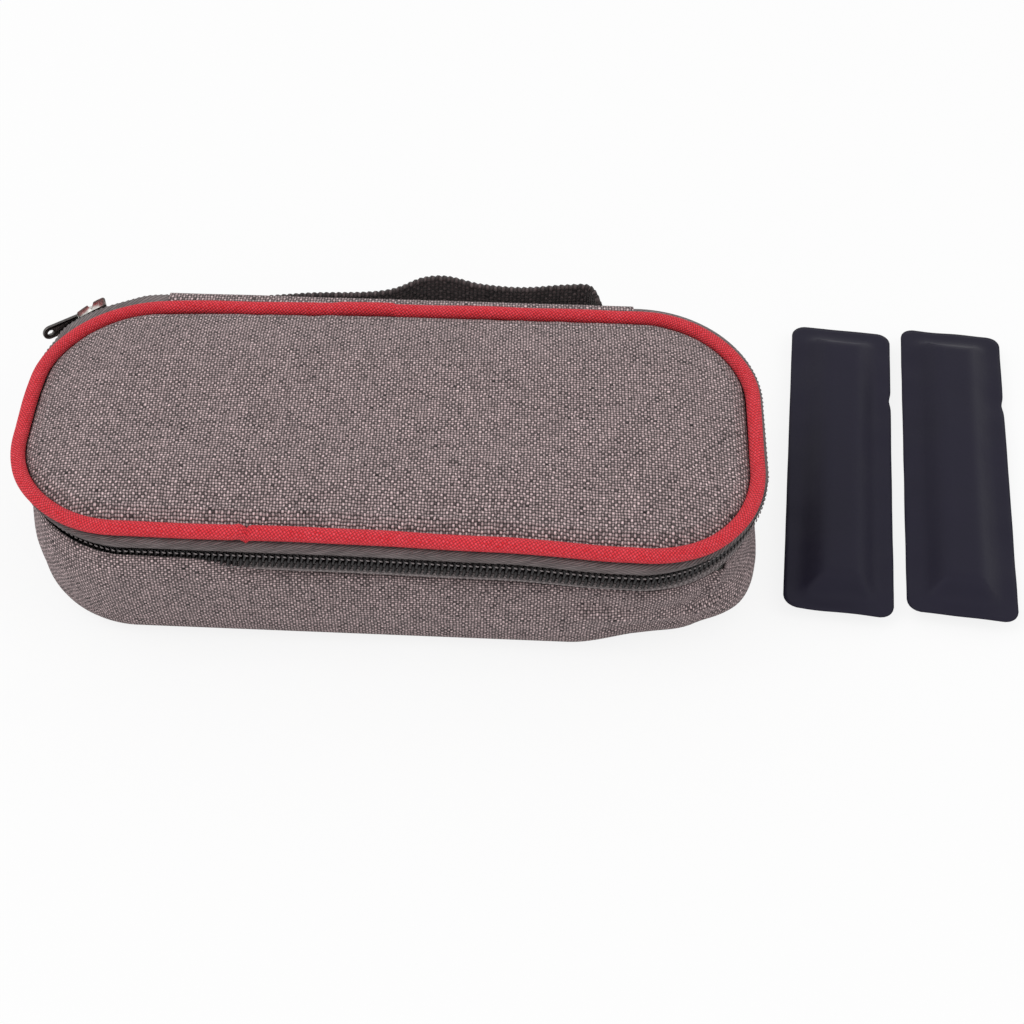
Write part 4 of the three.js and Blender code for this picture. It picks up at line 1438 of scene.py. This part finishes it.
# A smooth line through knots, at a share of its length from end to end
def smooth_line(knots):
    points = [Vector(knot) for knot in knots]
    walked = [0]
    for first, second in zip(points, points[1:]):
        walked.append(walked[-1] + (second - first).length)

    def at(share):
        distance = share * walked[-1]
        piece = max(n for n in range(len(points) - 1) if walked[n] <= distance or n == 0)
        first, second = points[piece], points[piece + 1]
        before, after = points[max(piece - 1, 0)], points[min(piece + 2, len(points) - 1)]
        length = walked[piece + 1] - walked[piece]
        t = (distance - walked[piece]) / length
        start_slope = (second - before) * length / ((second - first).length + (first - before).length)
        end_slope = (after - first) * length / ((after - second).length + (second - first).length)
        a, b = 2 * t**3 - 3 * t**2 + 1, t**3 - 2 * t**2 + t
        return a * first + b * start_slope + (1 - a) * second + (t**3 - t**2) * end_slope

    return at, walked[-1]


handle_line, handle_run = smooth_line(handle_knots)
handle_scallop = 0.0003
handle_scallop_pitch = 0.0018
handle_lean = 0.0012
handle_lean_side = ((0.01, 1), (0.05, 0))
handle_cup = 0.0006
handle_cup_side = ((0.02, 1), (0.05, 0))


def handle_place(along, across):
    point = handle_line(along)
    wave = sin(along * handle_run / handle_scallop_pitch * 2 * pi)
    scallop = handle_scallop * wave * abs(2 * across) ** 8
    rise = (across + 0.5) * handle_width
    lean = handle_lean * between(abs(point.x), handle_lean_side) * (across + 0.5)
    cup = handle_cup * (1 - (2 * across) ** 2) * between(abs(point.x), handle_cup_side)
    return point + Vector((0, lean + cup, rise + scallop * (1 if across > 0 else -1)))


handle = ribbon(
    "handle_strap", handle_place, handle_run, handle_width, handle_thickness, black_webbing, step=0.0006
)
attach(handle, "case_base")
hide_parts("handle_webbing")

# Handle stitches: black thread that sews each end of the webbing to the back, in two short rows
# near the webbing's edges. They stop at the fold.
handle_stitch_start = 0.0105
handle_stitch_pitch = 0.0022
handle_stitch_inset = 0.0025
box_places = []
for side in (-1, 1):
    for along in range(5):
        x = side * (handle_end - handle_stitch_start + along * handle_stitch_pitch)
        for z in (handle_foot + handle_stitch_inset, handle_foot + handle_width - handle_stitch_inset):
            box_places.append(Matrix.Translation((x, handle_skin + handle_thickness / 2, z)))
handle_stitches = stitched("handle_stitches", box_places, black_thread, settled=False)
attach(handle_stitches, "case_base")


# Gel packs: two dark blue films welded along their edges round a clear gel, which swells them
# between the welds. They lie on the ground beside the case.
def film_material():
    material, tree, shader = new_material("navy_film", 0.55, specular=0.16)
    place = tree.nodes.new("ShaderNodeTexCoord").outputs["Object"]
    broad = noise_node(tree, place, 60, 3)
    fine = noise_node(tree, place, 900, 3)
    tone = mixed(tree, broad, (0.009, 0.008, 0.018, 1), (0.015, 0.013, 0.027, 1))
    tree.links.new(tone, shader.inputs["Base Color"])
    tree.links.new(math_node(tree, "MULTIPLY_ADD", broad, 0.2, 0.45), shader.inputs["Roughness"])
    relief(tree, shader, math_node(tree, "MULTIPLY_ADD", fine, 0.15, broad), 0.0002)
    return material


def gel_material():
    material, tree, shader = new_material("blue_gel", 0.15)
    place = tree.nodes.new("ShaderNodeTexCoord").outputs["Object"]
    tone = mixed(tree, noise_node(tree, place, 80, 3), (0.3, 0.5, 0.66, 1), (0.42, 0.62, 0.76, 1))
    tree.links.new(tone, shader.inputs["Base Color"])
    shader.inputs["Transmission Weight"].default_value = 0.7
    return material


navy_film = film_material()
blue_gel = gel_material()
pack_width = 0.029
pack_length = 0.109
pack_thickness = 0.009
pack_corner = 0.004
pack_rim = 0.0034
pack_shoulder = 0.0075
pack_turn = radians(-6)
pack_film_thickness = 0.0004
pack_seat = 0.0001
pack_gap = 0.00012
pack_wave = 0.04
pack_crease = 0.0003
pack_crease_reach = ((0.001, 0), (pack_rim, 1), (0.009, 0))
rim_curl = 0.0005
notch_size = 0.0005
notch_place = 0.026
notch_width = 0.0022
gel_inset = 0.004
gel_join = 0.0003


# One side of a pack, above or below the weld. The weld is wavy, and has a notch at the right.
def pack_side(middle, direction, shrink, seed):
    bm = bmesh.new()
    bmesh.ops.create_grid(bm, x_segments=24, y_segments=88, size=0.5)
    layer = bm.loops.layers.uv.new("cloth")
    turn = Matrix.Rotation(pack_turn, 3, "Z")
    weld = pack_thickness / 2
    half_w, half_l = pack_width / 2 - shrink, pack_length / 2 - shrink
    reach = pack_corner + pack_rim
    for vert in bm.verts:
        x, y = 2 * vert.co.x * half_w, 2 * vert.co.y * half_l
        corner_x, corner_y = abs(x) - half_w + pack_corner, abs(y) - half_l + pack_corner
        if corner_x > 0 and corner_y > 0:
            cut = max(corner_x, corner_y) / hypot(corner_x, corner_y)
            x = (abs(x) - corner_x * (1 - cut)) * (1 if x > 0 else -1)
            y = (abs(y) - corner_y * (1 - cut)) * (1 if y > 0 else -1)
        edge_x, edge_y = pack_width / 2 - abs(x), pack_length / 2 - abs(y)
        inside = min(edge_x, edge_y)
        if edge_x < reach and edge_y < reach:
            inside = reach - hypot(reach - edge_x, reach - edge_y)
        swell = between(inside, ((pack_rim, 0), (pack_rim + pack_shoulder, 1)))
        swell *= 1 + pack_wave * noise.noise(Vector((x * 60, y * 60, seed)))
        crease = pack_crease * noise.noise(Vector((x * 260, y * 260, seed)))
        crease *= between(inside, pack_crease_reach) * swell
        rise = (weld - 2 * pack_seat - shrink * 0.3) * swell
        curl = rim_curl * noise.noise(Vector((x * 90, y * 90, seed + 5))) * (1 - swell)
        z = max(weld + direction * (pack_gap + rise + crease) + curl, pack_seat)
        notch = notch_size * exp(-(((y - notch_place) / notch_width) ** 2)) * max(0, x / half_w) ** 4
        vert.co = turn @ Vector((x - notch, y, z)) + middle
    for face in bm.faces:
        for loop in face.loops:
            loop[layer].uv = loop.vert.co.xy
    bmesh.ops.recalc_face_normals(bm, faces=bm.faces)
    if sum(face.normal.z for face in bm.faces) * direction < 0:
        bmesh.ops.reverse_faces(bm, faces=bm.faces)
    return bm


for side, seed in (("left", 1), ("right", 7)):
    low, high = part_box(f"pack_{side}_front_film")
    middle = Vector(((low.x + high.x) / 2, (low.y + high.y) / 2, 0))
    for layer_name, direction in (("front", 1), ("back", -1)):
        bm = pack_side(middle, direction, 0, seed)
        bmesh.ops.solidify(bm, geom=bm.faces, thickness=pack_film_thickness * 0.5)
        film_piece = mesh_piece(bm, f"{side}_pack_{layer_name}", navy_film)
        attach(film_piece, f"pack_{side}")
        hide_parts(f"pack_{side}_{layer_name}_film")
    gel = pack_side(middle, 1, gel_inset, seed)
    under = pack_side(middle, -1, gel_inset, seed)
    half = bpy.data.meshes.new("gel_half")
    under.to_mesh(half)
    under.free()
    gel.from_mesh(half)
    bpy.data.meshes.remove(half)
    bmesh.ops.remove_doubles(gel, verts=gel.verts, dist=gel_join)
    gel_piece = mesh_piece(gel, f"{side}_pack_gel", blue_gel)
    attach(gel_piece, f"pack_{side}")
    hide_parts(f"pack_{side}_gel")
